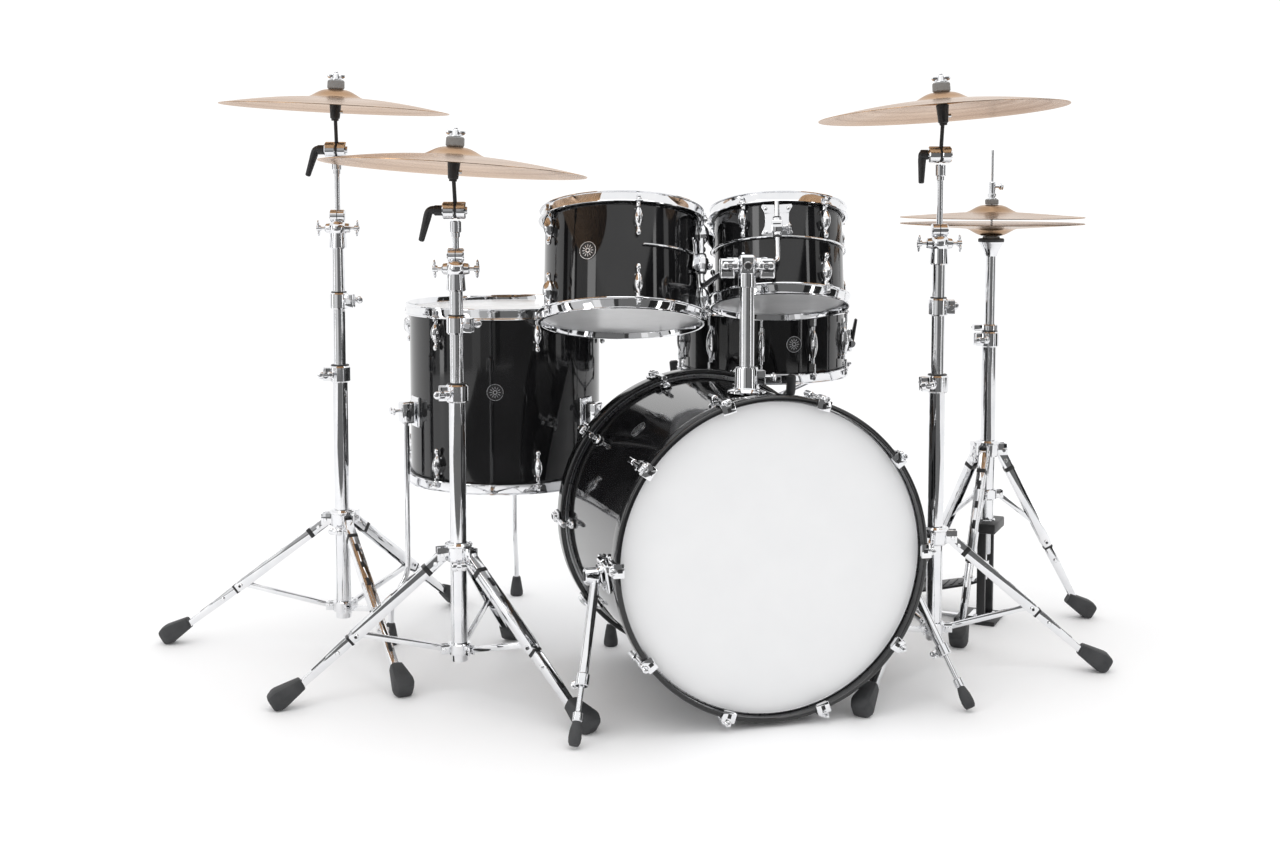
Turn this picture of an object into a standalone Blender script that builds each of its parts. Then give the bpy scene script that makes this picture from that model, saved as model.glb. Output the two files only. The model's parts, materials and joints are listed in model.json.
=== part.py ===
"""Acoustic drum kit: bass drum, two rack toms, floor tom, snare drum, three boom cymbal stands
and a hi-hat stand. Metres, +Z up, the floor at Z = 0, the bass drum's front facing -Y.
Left and right are as seen by someone who stands in front of the kit.
"""

import math

import bmesh
import bpy
from mathutils import Matrix, Vector

# ---------------------------------------------------------------- driving dimensions
GAP = 0.0003  # clearance between pieces that touch
INCH = 0.0254
SEGMENTS = 24  # steps round a turned piece

BASS_RADIUS, BASS_DEPTH = 11 * INCH, 18 * INCH
BASS_HOOP_RADIUS = 0.294
BASS_FRONT = Vector((0.239, -0.411, 0.302))  # centre of the front hoop's face
BASS_TURN = math.radians(14.75)  # the front faces this far to the right of -Y
BASS_RISE = math.radians(0.85)  # the front is lifted off the floor by the spurs
BASS_WALL = 0.007
WOOD_HOOP_DEPTH = 0.038
WOOD_HOOP_STANDS_OUT = 0.021
SPUR_BRACKET = Vector((0.296, -0.040, 0.1095))  # in the bass drum's frame, on its +X side
SPUR_FOOT = Vector((0.375, -0.300, 0.2680))

HIGH_TOM_RADIUS, HIGH_TOM_DEPTH = 5 * INCH, 7 * INCH
HIGH_TOM_CENTRE = Vector((0.273, -0.035, 0.821))
MID_TOM_RADIUS, MID_TOM_DEPTH = 6 * INCH, 8 * INCH
MID_TOM_CENTRE = Vector((-0.039, -0.063, 0.803))
TOM_TILT = math.radians(16)  # the playing heads lean towards the drummer, +Y
FLOOR_TOM_RADIUS, FLOOR_TOM_DEPTH = 8 * INCH, 14 * INCH
FLOOR_TOM_CENTRE = Vector((-0.294, 0.210, 0.526))
SNARE_RADIUS, SNARE_DEPTH = 7 * INCH, 5.5 * INCH
SNARE_CENTRE = Vector((0.271, 0.312, 0.628))
SHELL_WALL = 0.006
FLOOR_LEG_RADIUS = 0.0062
FLOOR_LEG_BEARINGS = (-152, 90, -30)
FLOOR_LEG_TOP = 0.50

FILM = 0.001  # drum head thickness
RIM_CLEAR = 0.0008  # head rim stands off the shell
RIM_WALL = 0.0042
HOOP_WALL = 0.0024
HOOP_ABOVE, HOOP_BELOW = 0.0125, 0.0100  # metal hoop above and below the shell's edge

POST = Vector((0.196, -0.248, 0.0))  # tom holder post, on the bass drum
POST_RADIUS = 0.0135
POST_LOW, POST_TOP = 0.500, 0.808
HOLDER_BASE = 0.580  # underside of the base's flange, above the shell's crown
ARM_RADIUS = 0.0053
HEAD_HEIGHT = 0.818  # of the holder's head and of both arms' clamps
MID_ARM_PIVOT = Vector((0.169, -0.240, HEAD_HEIGHT))
HIGH_ARM_PIVOT = Vector((0.223, -0.240, HEAD_HEIGHT))
MID_MOUNT = (0.1655, -20, -0.005)  # radius, bearing and height of the rod in the tom's frame
HIGH_MOUNT = (0.1400, -96, 0.028)

STAND_TUBE_RADIUS, STAND_BORE_RADIUS = 0.0158, 0.0134
UPPER_TUBE_RADIUS = 0.0127
BOOM_RADIUS = 0.0063
CYMBAL_ROD_RADIUS = 0.0040
CYMBAL_HOLE_RADIUS = 0.0063
CYMBAL_THICKNESS = 0.0016
BELL_RADIUS_RATIO = 0.27
BOW_RISE_RATIO = 0.092
BELL_RISE = 0.018
SEAT_BELOW = CYMBAL_THICKNESS + 0.0014  # from a bell's top to the felt under it
HUB_HEIGHT, COLLAR_HEIGHT = 0.272, 0.085  # of the legs' upper and lower joints
LOWER_TUBE_TOP = 0.592
STAND_BORE_LOW, UPPER_TUBE_LOW = 0.300, 0.460  # the upper tube can slide down between them

CYMBAL_STANDS = (
    # name, column x and y, foot circle, first leg's bearing, boom clamp, tilter, cymbal height,
    # cymbal radius, how far its left edge and its near edge are raised
    ("ride", (-0.348, -0.215), 0.330, 78, 0.826, 0.919, 1.037, 0.2500, 3.5, 2.8),
    ("floor_side_crash", (-0.626, 0.082), 0.362, 58, 0.893, 1.038, 1.161, 0.2325, 2.5, 0.0),
    ("hat_side_crash", (0.584, -0.078), 0.323, -3, 0.868, 1.025, 1.146, 0.2415, -3.65, 2.5),
)

HAT_COLUMN = Vector((0.765, 0.273, 0.0))
HAT_RADIUS = 0.1975
HAT_FOOT_CIRCLE, HAT_FIRST_LEG = 0.222, 4
HAT_HUB, HAT_COLLAR = 0.386, 0.284
HAT_TUBE_TOP, HAT_ROD_TOP = 0.650, 1.042
HAT_SEAT = 0.854  # top of the seat under the bottom cymbal
HAT_RISE = 0.028  # from a hat's edge to its bell's top, outside
HAT_OPENING = 0.0120  # between the hats' edges with the pedal up
HAT_PEDAL_BEARING = math.radians(155)

SNARE_STAND_TOP = 0.420
SNARE_FOOT_CIRCLE, SNARE_FIRST_LEG = 0.220, 60

MATERIALS = {
    # name: colour, roughness, metallic
    "black_lacquer": ((0.012, 0.012, 0.014), 0.08, 0.0),
    "chrome": ((0.80, 0.80, 0.82), 0.08, 1.0),
    "bronze": ((0.78, 0.55, 0.36), 0.22, 1.0),
    "black_plastic": ((0.02, 0.02, 0.02), 0.35, 0.0),
    "white_film": ((0.90, 0.90, 0.89), 0.35, 0.0),
    "clear_film": ((0.72, 0.74, 0.75), 0.15, 0.0),
}


# ---------------------------------------------------------------- modelling helpers
def clear_scene():
    for item in list(bpy.data.objects):
        bpy.data.objects.remove(item, do_unlink=True)


def collection(name):
    made = bpy.data.collections.new(name)
    bpy.context.scene.collection.children.link(made)
    return made


def material(name):
    if name in bpy.data.materials:
        return bpy.data.materials[name]
    colour, roughness, metallic = MATERIALS[name]
    made = bpy.data.materials.new(name)
    made.use_nodes = True
    shader = made.node_tree.nodes["Principled BSDF"]
    shader.inputs["Base Color"].default_value = (*colour, 1.0)
    shader.inputs["Roughness"].default_value = roughness
    shader.inputs["Metallic"].default_value = metallic
    return made


def add_object(name, mesh, matrix, finish, where):
    made = bpy.data.objects.new(name, mesh)
    made.matrix_world = matrix
    if finish:
        mesh.materials.append(material(finish))
    where.objects.link(made)
    return made


def as_cutter(made):
    made.hide_render = True
    made.display_type = "WIRE"
    return made


def turned(name, profile, matrix, finish, closed=True, steps=SEGMENTS):
    """A profile of (radius, height) turned about local Z. A closed profile makes a ring."""
    mesh = bpy.data.meshes.new(name)
    count = len(profile)
    edges = [(i, (i + 1) % count) for i in range(count if closed else count - 1)]
    mesh.from_pydata([(r, 0.0, z) for r, z in profile], edges, [])
    made = add_object(name, mesh, matrix, finish, PARTS)
    screw = made.modifiers.new("Turn", "SCREW")
    screw.steps = screw.render_steps = steps
    screw.use_merge_vertices = True
    screw.merge_threshold = 0.00001
    return made


def along(start, end):
    """Matrix of a frame at start whose Z points to end."""
    start, end = Vector(start), Vector(end)
    return Matrix.Translation(start) @ (end - start).to_track_quat("Z", "Y").to_matrix().to_4x4()


def rod(start, end, radius, end_radius=None, sides=10):
    """A straight round bar between two points, as a piece for a union or a cut."""
    mesh = bpy.data.meshes.new("rod")
    length = (Vector(end) - Vector(start)).length
    shape = bmesh.new()
    bmesh.ops.create_cone(
        shape, cap_ends=True, segments=sides, radius1=radius,
        radius2=radius if end_radius is None else end_radius, depth=length,
    )
    bmesh.ops.translate(shape, vec=(0, 0, length / 2), verts=shape.verts)
    shape.to_mesh(mesh)
    shape.free()
    return as_cutter(add_object("rod", mesh, along(start, end), None, CUTTERS))


def upright(centre, low, high, radius, end_radius=None, sides=14):
    """A rod on the vertical line through centre, between two heights."""
    foot = Vector((centre.x, centre.y, low))
    return rod(foot, Vector((centre.x, centre.y, high)), radius, end_radius, sides)


def crossbar(middle, left, right, radius, sides=14):
    """A rod along X through a point, from left to right of it."""
    return rod(middle - Vector((left, 0, 0)), middle + Vector((right, 0, 0)), radius, sides=sides)


def block(size, matrix):
    """A box of the given size centred on a frame, as a piece for a union or a cut."""
    mesh = bpy.data.meshes.new("block")
    shape = bmesh.new()
    bmesh.ops.create_cube(shape, size=1.0)
    bmesh.ops.scale(shape, vec=size, verts=shape.verts)
    shape.to_mesh(mesh)
    shape.free()
    return as_cutter(add_object("block", mesh, matrix, None, CUTTERS))


def beam(start, end, width, thickness):
    """A flat bar between two points, its width level."""
    start, end = Vector(start), Vector(end)
    run = (end - start).normalized()
    side = run.cross(Vector((0, 0, 1))).normalized()
    face = Matrix((side, run, side.cross(run))).transposed().to_4x4()
    middle = Matrix.Translation((start + end) / 2)
    return block((width, (end - start).length, thickness), middle @ face)


def union(name, pieces, finish, cuts=()):
    """One named solid made of overlapping pieces, less the cuts."""
    base = pieces[0]
    CUTTERS.objects.unlink(base)
    PARTS.objects.link(base)
    base.name = name
    base.hide_render = False
    base.display_type = "TEXTURED"
    base.data.materials.append(material(finish))
    for piece in pieces[1:]:
        boolean(base, piece, "UNION")
    for cut in cuts:
        boolean(base, cut, "DIFFERENCE")
    return base


def boolean(target, other, operation):
    modifier = target.modifiers.new(operation.title(), "BOOLEAN")
    modifier.operation = operation
    modifier.solver = "EXACT"
    modifier.object = other


def polar(centre, radius, bearing, height):
    """The point at a radius and a bearing in degrees from +X round a vertical line."""
    turn = math.radians(bearing)
    return Vector((centre[0] + radius * math.cos(turn), centre[1] + radius * math.sin(turn), height))


# ---------------------------------------------------------------- drums
def drum_shell(name, radius, depth, matrix, wall):
    half = depth / 2
    profile = [(radius, half), (radius, -half), (radius - wall, -half), (radius - wall, half)]
    return turned(name, profile, matrix, "black_lacquer")


def drum_head(name, radius, depth, matrix, finish):
    """A film on the shell's edge with a rim that hangs outside the shell."""
    low = depth / 2 + GAP
    top = low + FILM
    inner = radius + RIM_CLEAR
    outer = inner + RIM_WALL
    skirt = depth / 2 - 0.007
    profile = [(0, top), (outer, top), (outer, skirt), (inner, skirt), (inner, low), (0, low)]
    return turned(name, profile, matrix, finish, closed=False)


def metal_hoop(name, radius, depth, matrix):
    """A flanged steel hoop round the head's rim, with a flange that the tension rods pull."""
    edge = depth / 2
    inner = radius + RIM_CLEAR + RIM_WALL + GAP
    outer = inner + HOOP_WALL
    top, low = edge + HOOP_ABOVE, edge - HOOP_BELOW
    flange = outer + 0.0050
    profile = [
        (outer, top), (outer, low + HOOP_WALL), (flange, low + HOOP_WALL), (flange, low),
        (inner, low), (inner, top),
    ]
    return turned(name, profile, matrix, "chrome")


def wood_hoop(name, radius, depth, matrix):
    inner = radius + RIM_CLEAR + RIM_WALL + GAP
    out = depth / 2 + WOOD_HOOP_STANDS_OUT
    back = out - WOOD_HOOP_DEPTH
    profile = [
        (BASS_HOOP_RADIUS, out), (BASS_HOOP_RADIUS, back), (inner, back), (inner, out),
    ]
    return turned(name, profile, matrix, "black_lacquer")


def flipped(matrix):
    return matrix @ Matrix.Rotation(math.pi, 4, "X")


def make_drum(prefix, radius, depth, matrix, top_film="clear_film"):
    drum_shell(prefix + "_shell", radius, depth, matrix, SHELL_WALL)
    drum_head(prefix + "_top_head", radius, depth, matrix, top_film)
    drum_head(prefix + "_bottom_head", radius, depth, flipped(matrix), "clear_film")
    metal_hoop(prefix + "_top_hoop", radius, depth, matrix)
    metal_hoop(prefix + "_bottom_hoop", radius, depth, flipped(matrix))


def tilted(centre):
    return Matrix.Translation(centre) @ Matrix.Rotation(-TOM_TILT, 4, "X")


# ---------------------------------------------------------------- bass drum
def bass_frame():
    """A frame at the bass drum's centre, Z out of its front and Y up."""
    front = Vector((
        math.sin(BASS_TURN) * math.cos(BASS_RISE),
        -math.cos(BASS_TURN) * math.cos(BASS_RISE),
        math.sin(BASS_RISE),
    ))
    side = Vector((math.cos(BASS_TURN), math.sin(BASS_TURN), 0))
    up = front.cross(side)
    centre = BASS_FRONT - front * (BASS_DEPTH / 2 + WOOD_HOOP_STANDS_OUT)
    turn = Matrix((side, up, front)).transposed().to_4x4()
    return Matrix.Translation(centre) @ turn


def make_spur(name, frame, side):
    """A telescoping leg that pivots on a bracket at the shell's side."""
    mirror = Vector((side, 1, 1))
    top = frame @ (SPUR_BRACKET * mirror)
    foot = frame @ (SPUR_FOOT * mirror)
    run = (foot - top).normalized()
    foot = top + run * ((0.0078 - top.z) / run.z)  # the tip's middle, so that its end is on the floor
    knee = top.lerp(foot, 0.56)
    pivot = frame @ ((SPUR_BRACKET + Vector((0.016, 0, 0))) * mirror)
    pieces = [
        rod(top - run * 0.012, knee, 0.0090),
        rod(top.lerp(foot, 0.5), foot, 0.0055),
        rod(knee - run * 0.010, knee + run * 0.006, 0.0125),
        rod(foot - run * 0.030, foot + run * 0.004, 0.0085, 0.0075),
        rod(top, pivot, 0.0120),
    ]
    return union(name, pieces, "chrome")


def make_bass_drum():
    frame = bass_frame()
    shell = drum_shell("bass_drum_shell", BASS_RADIUS, BASS_DEPTH, frame, BASS_WALL)
    post_hole = upright(POST, POST_LOW, POST_LOW + 0.12, POST_RADIUS + 0.001, sides=16)
    boolean(shell, post_hole, "DIFFERENCE")
    drum_head("bass_drum_front_head", BASS_RADIUS, BASS_DEPTH, frame, "white_film")
    drum_head("bass_drum_batter_head", BASS_RADIUS, BASS_DEPTH, flipped(frame), "clear_film")
    wood_hoop("bass_drum_front_hoop", BASS_RADIUS, BASS_DEPTH, frame)
    wood_hoop("bass_drum_rear_hoop", BASS_RADIUS, BASS_DEPTH, flipped(frame))
    make_spur("bass_drum_left_spur", frame, -1)
    make_spur("bass_drum_right_spur", frame, 1)


# ---------------------------------------------------------------- tom holder
def mount_point(frame, mount, lift=0.0):
    radius, bearing, height = mount
    return frame @ polar((0, 0), radius, bearing, height + lift)


def make_tom_mount(name, frame, mount, shell_radius):
    """A plate on the tom's side with an eye that slides on the arm's upright rod."""
    radius, bearing, height = mount
    turn = Matrix.Rotation(math.radians(bearing), 4, "Z")
    gap = radius - shell_radius
    plate = frame @ turn @ Matrix.Translation((shell_radius + 0.0035, 0, height))
    eye = frame @ turn @ Matrix.Translation((radius + 0.001, 0, height))
    pieces = [block((gap * 2 + 0.002, 0.022, 0.026), eye), block((0.004, 0.046, 0.080), plate)]
    hole = rod(mount_point(frame, mount, -0.05), mount_point(frame, mount, 0.05), ARM_RADIUS + GAP * 2)
    inside = block(
        (0.06, 0.06, 0.12),
        frame @ turn @ Matrix.Translation((shell_radius + 0.0009 - 0.03, 0, height)),
    )
    return union(name, pieces, "chrome", cuts=(hole, inside))


def make_tom_arm(name, pivot, head_side, frame, mount, drop):
    """An L-shaped rod from the holder's head to the tom, clamped in a ball at the head."""
    low = mount_point(frame, mount, -drop)
    high = mount_point(frame, mount, 0.050)
    bend = mount_point(frame, mount, -drop - 0.006)
    pieces = [
        rod(low, high, ARM_RADIUS),
        rod(pivot, bend + (low - bend) * 0.5, ARM_RADIUS + 0.0003),
        rod(pivot - head_side * 0.012, pivot + head_side * 0.0115, 0.0150, sides=14),
    ]
    return union(name, pieces, "chrome")


def make_tom_holder():
    base = [
        (0.036, HOLDER_BASE + 0.006), (0.036, HOLDER_BASE), (POST_RADIUS + GAP * 2, HOLDER_BASE),
        (POST_RADIUS + GAP * 2, HOLDER_BASE + 0.050), (0.021, HOLDER_BASE + 0.050),
        (0.021, HOLDER_BASE + 0.006),
    ]
    turned("tom_holder_base", base, Matrix.Translation(POST), "chrome", steps=24)
    at_head = POST + Vector((0, 0.008, HEAD_HEIGHT))
    pieces = [
        upright(POST, POST_LOW, POST_TOP, POST_RADIUS, sides=20),
        block((0.030, 0.034, 0.040), Matrix.Translation(at_head)),
    ]
    union("tom_holder_post", pieces, "chrome")
    sideways = Vector((1, 0, 0))
    mid_frame, high_frame = tilted(MID_TOM_CENTRE), tilted(HIGH_TOM_CENTRE)
    make_tom_arm("mid_tom_arm", MID_ARM_PIVOT, sideways, mid_frame, MID_MOUNT, 0.040)
    make_tom_arm("high_tom_arm", HIGH_ARM_PIVOT, -sideways, high_frame, HIGH_MOUNT, 0.062)
    make_tom_mount("mid_tom_mount", mid_frame, MID_MOUNT, MID_TOM_RADIUS)
    make_tom_mount("high_tom_mount", high_frame, HIGH_MOUNT, HIGH_TOM_RADIUS)


# ---------------------------------------------------------------- floor tom
def make_floor_tom_leg(name, bearing):
    """A bent leg in a bracket on the shell, its foot kicked outwards."""
    centre = FLOOR_TOM_CENTRE
    upright = FLOOR_TOM_RADIUS + 0.022
    top = polar(centre, upright, bearing, FLOOR_LEG_TOP)
    bend = polar(centre, upright, bearing, 0.150)
    kick = polar(centre, upright + 0.038, bearing, 0.085)
    foot = polar(centre, upright + 0.040, bearing, 0.030)
    tip = polar(centre, upright + 0.040, bearing, 0.0)
    pieces = [
        rod(bend, top, FLOOR_LEG_RADIUS),
        rod(bend + (bend - kick) * 0.03, kick, FLOOR_LEG_RADIUS),
        rod(kick + (kick - foot) * 0.04, foot, FLOOR_LEG_RADIUS),
        rod(tip, foot + Vector((0, 0, 0.012)), 0.0150, 0.0105, sides=12),
    ]
    return union(name, pieces, "chrome")


def make_floor_tom():
    make_drum("floor_tom", FLOOR_TOM_RADIUS, FLOOR_TOM_DEPTH, Matrix.Translation(FLOOR_TOM_CENTRE))
    for where, bearing in zip(("left", "rear", "right"), FLOOR_LEG_BEARINGS):
        make_floor_tom_leg("floor_tom_" + where + "_leg", bearing)


# ---------------------------------------------------------------- tripods
def tripod_legs(centre, hub, collar, circle, first, leg_width, strut_at):
    """Three braced legs with rubber feet, between a hub, a lower collar and the floor."""
    pieces = []
    for k in range(3):
        bearing = first + 120 * k
        top = polar(centre, 0.016, bearing, hub)
        ankle = polar(centre, circle - 0.012, bearing, 0.026)
        sole = polar(centre, circle + 0.014, bearing, 0.016)
        knee = top.lerp(ankle, strut_at)
        pieces.append(beam(top, ankle, leg_width, 0.010))
        pieces.append(beam(polar(centre, 0.014, bearing, collar), knee, 0.010, 0.006))
        pieces.append(foot_block(ankle, sole, bearing))
    return pieces


def foot_block(ankle, sole, bearing):
    """A rubber foot whose flat underside is on the floor."""
    middle = (ankle + sole) / 2
    turn = Matrix.Rotation(math.radians(bearing), 4, "Z")
    return block((0.052, 0.028, 0.034), Matrix.Translation((middle.x, middle.y, 0.017)) @ turn)


def make_cymbal_stand(name, column, circle, first, clamp, tilter, height, radius, roll, pitch):
    centre = Vector((*column, 0))
    make_stand_tripod(name, centre, circle, first)
    # upper tube with the boom clamp on top
    pieces = [
        upright(centre, UPPER_TUBE_LOW, clamp - 0.012, UPPER_TUBE_RADIUS, sides=16),
        upright(centre, clamp - 0.046, clamp - 0.016, 0.0190),
        crossbar(Vector((*column, clamp - 0.018)), 0.022, 0.022, 0.0130),
    ]
    union(name + "_upper_tube", pieces, "chrome")
    # boom rod, from the clamp's joint to the cymbal tilter
    pieces = [
        upright(centre, clamp + 0.006, tilter - 0.024, BOOM_RADIUS, sides=10),
        crossbar(Vector((*column, clamp + 0.010)), 0.016, 0.016, 0.0130),
        upright(centre, tilter - 0.040, tilter - 0.020, 0.0110, sides=12),
    ]
    union(name + "_boom_rod", pieces, "chrome")
    # tilter with the rod, seat and nut that hold the cymbal
    joint = Vector((*column, tilter))
    seat = Vector((*column, height))
    tilt = cymbal_tilt(roll, pitch)
    axis = (tilt @ Vector((0, 0, 1))).normalized()
    pieces = [
        crossbar(joint, 0.026, 0.020, 0.0165, sides=16),
        rod(joint, seat - axis * 0.050, CYMBAL_ROD_RADIUS, sides=8),
        rod(seat - axis * 0.062, seat + axis * 0.036, CYMBAL_ROD_RADIUS, sides=8),
        rod(seat - axis * 0.060, seat - axis * 0.020, 0.0100, 0.0125, sides=12),
        rod(seat - axis * 0.022, seat - axis * SEAT_BELOW, 0.0110, sides=12),
        rod(seat + axis * GAP, seat + axis * 0.019, 0.0175, sides=14),
        rod(seat + axis * 0.017, seat + axis * 0.032, 0.0150, 0.0080, sides=10),
    ]
    union(name + "_tilter", pieces, "chrome")
    hung = Matrix.Translation(seat) @ tilt.to_4x4()
    turned(name + "_cymbal", cymbal_profile(radius), hung, "bronze")


def make_stand_tripod(name, centre, circle, first):
    """The lower tube, open at the top for the upper one, with its hub, collar and legs."""
    pieces = [
        upright(centre, 0.060, LOWER_TUBE_TOP, STAND_TUBE_RADIUS, sides=18),
        upright(centre, HUB_HEIGHT - 0.018, HUB_HEIGHT + 0.018, 0.024),
        upright(centre, COLLAR_HEIGHT - 0.012, COLLAR_HEIGHT + 0.012, 0.022),
        upright(centre, LOWER_TUBE_TOP - 0.034, LOWER_TUBE_TOP, 0.022),
    ]
    pieces += tripod_legs(centre, HUB_HEIGHT, COLLAR_HEIGHT, circle, first, 0.020, 0.58)
    bore = upright(centre, STAND_BORE_LOW, LOWER_TUBE_TOP + 0.02, STAND_BORE_RADIUS, sides=18)
    union(name + "_stand_tripod", pieces, "chrome", cuts=(bore,))


def cymbal_tilt(roll, pitch):
    """The left edge is raised by roll degrees, and the near edge by pitch degrees."""
    return Matrix.Rotation(math.radians(roll), 3, "Y") @ Matrix.Rotation(-math.radians(pitch), 3, "X")


def cymbal_profile(radius):
    """A thin bow with a bell, hanging from the hole at local Z = 0."""
    bell = radius * BELL_RADIUS_RATIO
    bow = radius * BOW_RISE_RATIO
    top = [
        (CYMBAL_HOLE_RADIUS, 0.0),
        (bell * 0.55, -BELL_RISE * 0.20),
        (bell, -BELL_RISE),
    ]
    for t in (0.5, 1.0):
        top.append((bell + (radius - bell) * t, -BELL_RISE - bow * t ** 1.5))
    under = [(r, z - CYMBAL_THICKNESS) for r, z in reversed(top)]
    return top + under


# ---------------------------------------------------------------- hi-hat stand
def make_hihat():
    centre = HAT_COLUMN
    up = Vector((0, 0, 1))
    pedal = polar((0, 0), 1.0, math.degrees(HAT_PEDAL_BEARING), 0)
    across = pedal.cross(up)
    turn = Matrix((pedal, -across, up)).transposed().to_4x4()

    def at(ahead, aside, height):
        return centre + pedal * ahead - across * aside + up * height

    pieces = [
        upright(centre, 0.205, HAT_TUBE_TOP, STAND_TUBE_RADIUS, sides=18),
        upright(centre, HAT_HUB - 0.016, HAT_HUB + 0.016, 0.024),
        upright(centre, HAT_COLLAR - 0.012, HAT_COLLAR + 0.012, 0.022),
        upright(centre, HAT_TUBE_TOP - 0.034, HAT_TUBE_TOP, 0.022),
        block((0.052, 0.100, 0.022), Matrix.Translation(at(-0.004, 0, 0.215)) @ turn),
        block((0.018, 0.012, 0.214), Matrix.Translation(at(0, 0.040, 0.109)) @ turn),
        block((0.018, 0.012, 0.214), Matrix.Translation(at(0, -0.040, 0.109)) @ turn),
        block((0.090, 0.104, 0.010), Matrix.Translation(at(0.012, 0, 0.005)) @ turn),
        block((0.030, 0.086, 0.016), Matrix.Translation(at(0.262, 0, 0.008)) @ turn),
        block((0.220, 0.016, 0.006), Matrix.Translation(at(0.150, 0, 0.004)) @ turn),
    ]
    legs = (HAT_HUB, HAT_COLLAR, HAT_FOOT_CIRCLE, HAT_FIRST_LEG)
    pieces += tripod_legs(centre, *legs, leg_width=0.018, strut_at=0.46)
    bore = upright(centre, 0.190, HAT_TUBE_TOP + 0.02, 0.0122, sides=16)
    union("hihat_stand_tripod", pieces, "chrome", cuts=(bore,))

    # upper tube with the seat of the bottom cymbal; hollow for the pull rod
    inner = 0.0050
    tube = [
        (0.0280, HAT_SEAT), (0.0280, HAT_SEAT - 0.014), (0.0150, HAT_SEAT - 0.034),
        (0.0111, HAT_SEAT - 0.044), (0.0111, 0.520), (inner, 0.520), (inner, HAT_SEAT),
    ]
    turned("hihat_upper_tube", tube, Matrix.Translation(centre), "chrome", steps=20)

    low_bell = HAT_SEAT + GAP
    clutch = low_bell + 2 * HAT_RISE + HAT_OPENING
    bottom = Matrix.Translation(centre + up * low_bell) @ Matrix.Rotation(math.pi, 4, "X")
    turned("hihat_bottom_cymbal", hat_profile(), bottom, "bronze")
    turned("hihat_top_cymbal", hat_profile(), Matrix.Translation(centre + up * clutch), "bronze")

    # pull rod with the clutch that grips the top cymbal
    pieces = [
        upright(centre, 0.130, HAT_ROD_TOP, 0.0032, sides=8),
        upright(centre, clutch + GAP, clutch + 0.013, 0.0120),
        upright(centre, clutch + 0.012, clutch + 0.050, 0.0078, sides=12),
        upright(centre, clutch - 0.014, clutch - SEAT_BELOW, 0.0110, sides=12),
        upright(centre, 0.112, 0.134, 0.0080, sides=10),
    ]
    union("hihat_pull_rod", pieces, "chrome")

    # footboard on a hinge at its heel
    heel = at(0.262, 0, 0.028)
    toe = at(0.012, 0, 0.088)
    board = beam(heel, toe, 0.084, 0.007)
    pin = rod(heel - across * 0.038, heel + across * 0.038, 0.0060)
    union("hihat_footboard", [board, pin], "black_plastic")


def hat_profile():
    """A hi-hat cymbal, local Z = 0 at the top of its bell."""
    radius = HAT_RADIUS
    bell = radius * 0.30
    top = [
        (CYMBAL_HOLE_RADIUS, 0.0), (bell * 0.5, -0.0020), (bell * 0.82, -0.0090), (bell, -0.0165),
        (bell + (radius - bell) * 0.5, -0.0225), (radius, -HAT_RISE + CYMBAL_THICKNESS),
    ]
    return top + [(r, z - CYMBAL_THICKNESS) for r, z in reversed(top)]


# ---------------------------------------------------------------- snare drum and its stand
SNARE_BOTTOM = SNARE_CENTRE.z - SNARE_DEPTH / 2 - HOOP_ABOVE


def make_snare():
    make_drum("snare_drum", SNARE_RADIUS, SNARE_DEPTH, Matrix.Translation(SNARE_CENTRE), "white_film")
    # throw-off lever on the right side of the shell
    pivot = polar(SNARE_CENTRE, SNARE_RADIUS + 0.018, 0, SNARE_CENTRE.z - 0.014)
    pieces = [
        rod(pivot, pivot + Vector((0.010, 0, 0.052)), 0.0060, 0.0045),
        rod(pivot - Vector((0, 0.011, 0)), pivot + Vector((0, 0.011, 0)), 0.0080),
    ]
    union("snare_drum_throw_off_lever", pieces, "black_plastic")

    centre = Vector((SNARE_CENTRE.x, SNARE_CENTRE.y, 0))
    top = SNARE_STAND_TOP
    pieces = [
        upright(centre, 0.050, top, 0.0143, sides=16),
        upright(centre, 0.180, 0.212, 0.022),
        upright(centre, 0.060, 0.084, 0.020),
        upright(centre, top - 0.030, top, 0.021),
    ]
    pieces += tripod_legs(centre, 0.196, 0.072, SNARE_FOOT_CIRCLE, SNARE_FIRST_LEG, 0.018, 0.55)
    bore = upright(centre, 0.230, top + 0.02, 0.0118, sides=16)
    union("snare_stand_tripod", pieces, "chrome", cuts=(bore,))

    pieces = [
        upright(centre, 0.300, 0.495, 0.0110),
        upright(centre, 0.468, 0.500, 0.024),
    ]
    for bearing in (-78, 42, 162):
        root = polar(centre, 0.010, bearing, 0.484)
        elbow = polar(centre, SNARE_RADIUS - 0.010, bearing, SNARE_BOTTOM - 0.028)
        out = polar(centre, SNARE_RADIUS + 0.030, bearing, SNARE_BOTTOM - 0.016)
        tip = polar(centre, SNARE_RADIUS + 0.030, bearing, SNARE_BOTTOM + 0.020)
        pieces += [
            rod(root, elbow, 0.0048),
            rod(elbow - (out - elbow) * 0.15, out, 0.0110, sides=12),
            rod(out - Vector((0, 0, 0.010)), tip, 0.0100, 0.0080, sides=12),
        ]
    union("snare_stand_basket", pieces, "chrome")


# ---------------------------------------------------------------- the kit
clear_scene()
PARTS = collection("acoustic_drum_kit")
CUTTERS = collection("cutters")

make_bass_drum()
make_drum("mid_tom", MID_TOM_RADIUS, MID_TOM_DEPTH, tilted(MID_TOM_CENTRE))
make_drum("high_tom", HIGH_TOM_RADIUS, HIGH_TOM_DEPTH, tilted(HIGH_TOM_CENTRE))
make_tom_holder()
make_floor_tom()
make_snare()
for stand in CYMBAL_STANDS:
    make_cymbal_stand(*stand)
make_hihat()
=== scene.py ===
"""Metres, +Z up, audience at -Y."""

import json
import math

import bmesh
import bpy
from mathutils import Matrix, Vector

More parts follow.
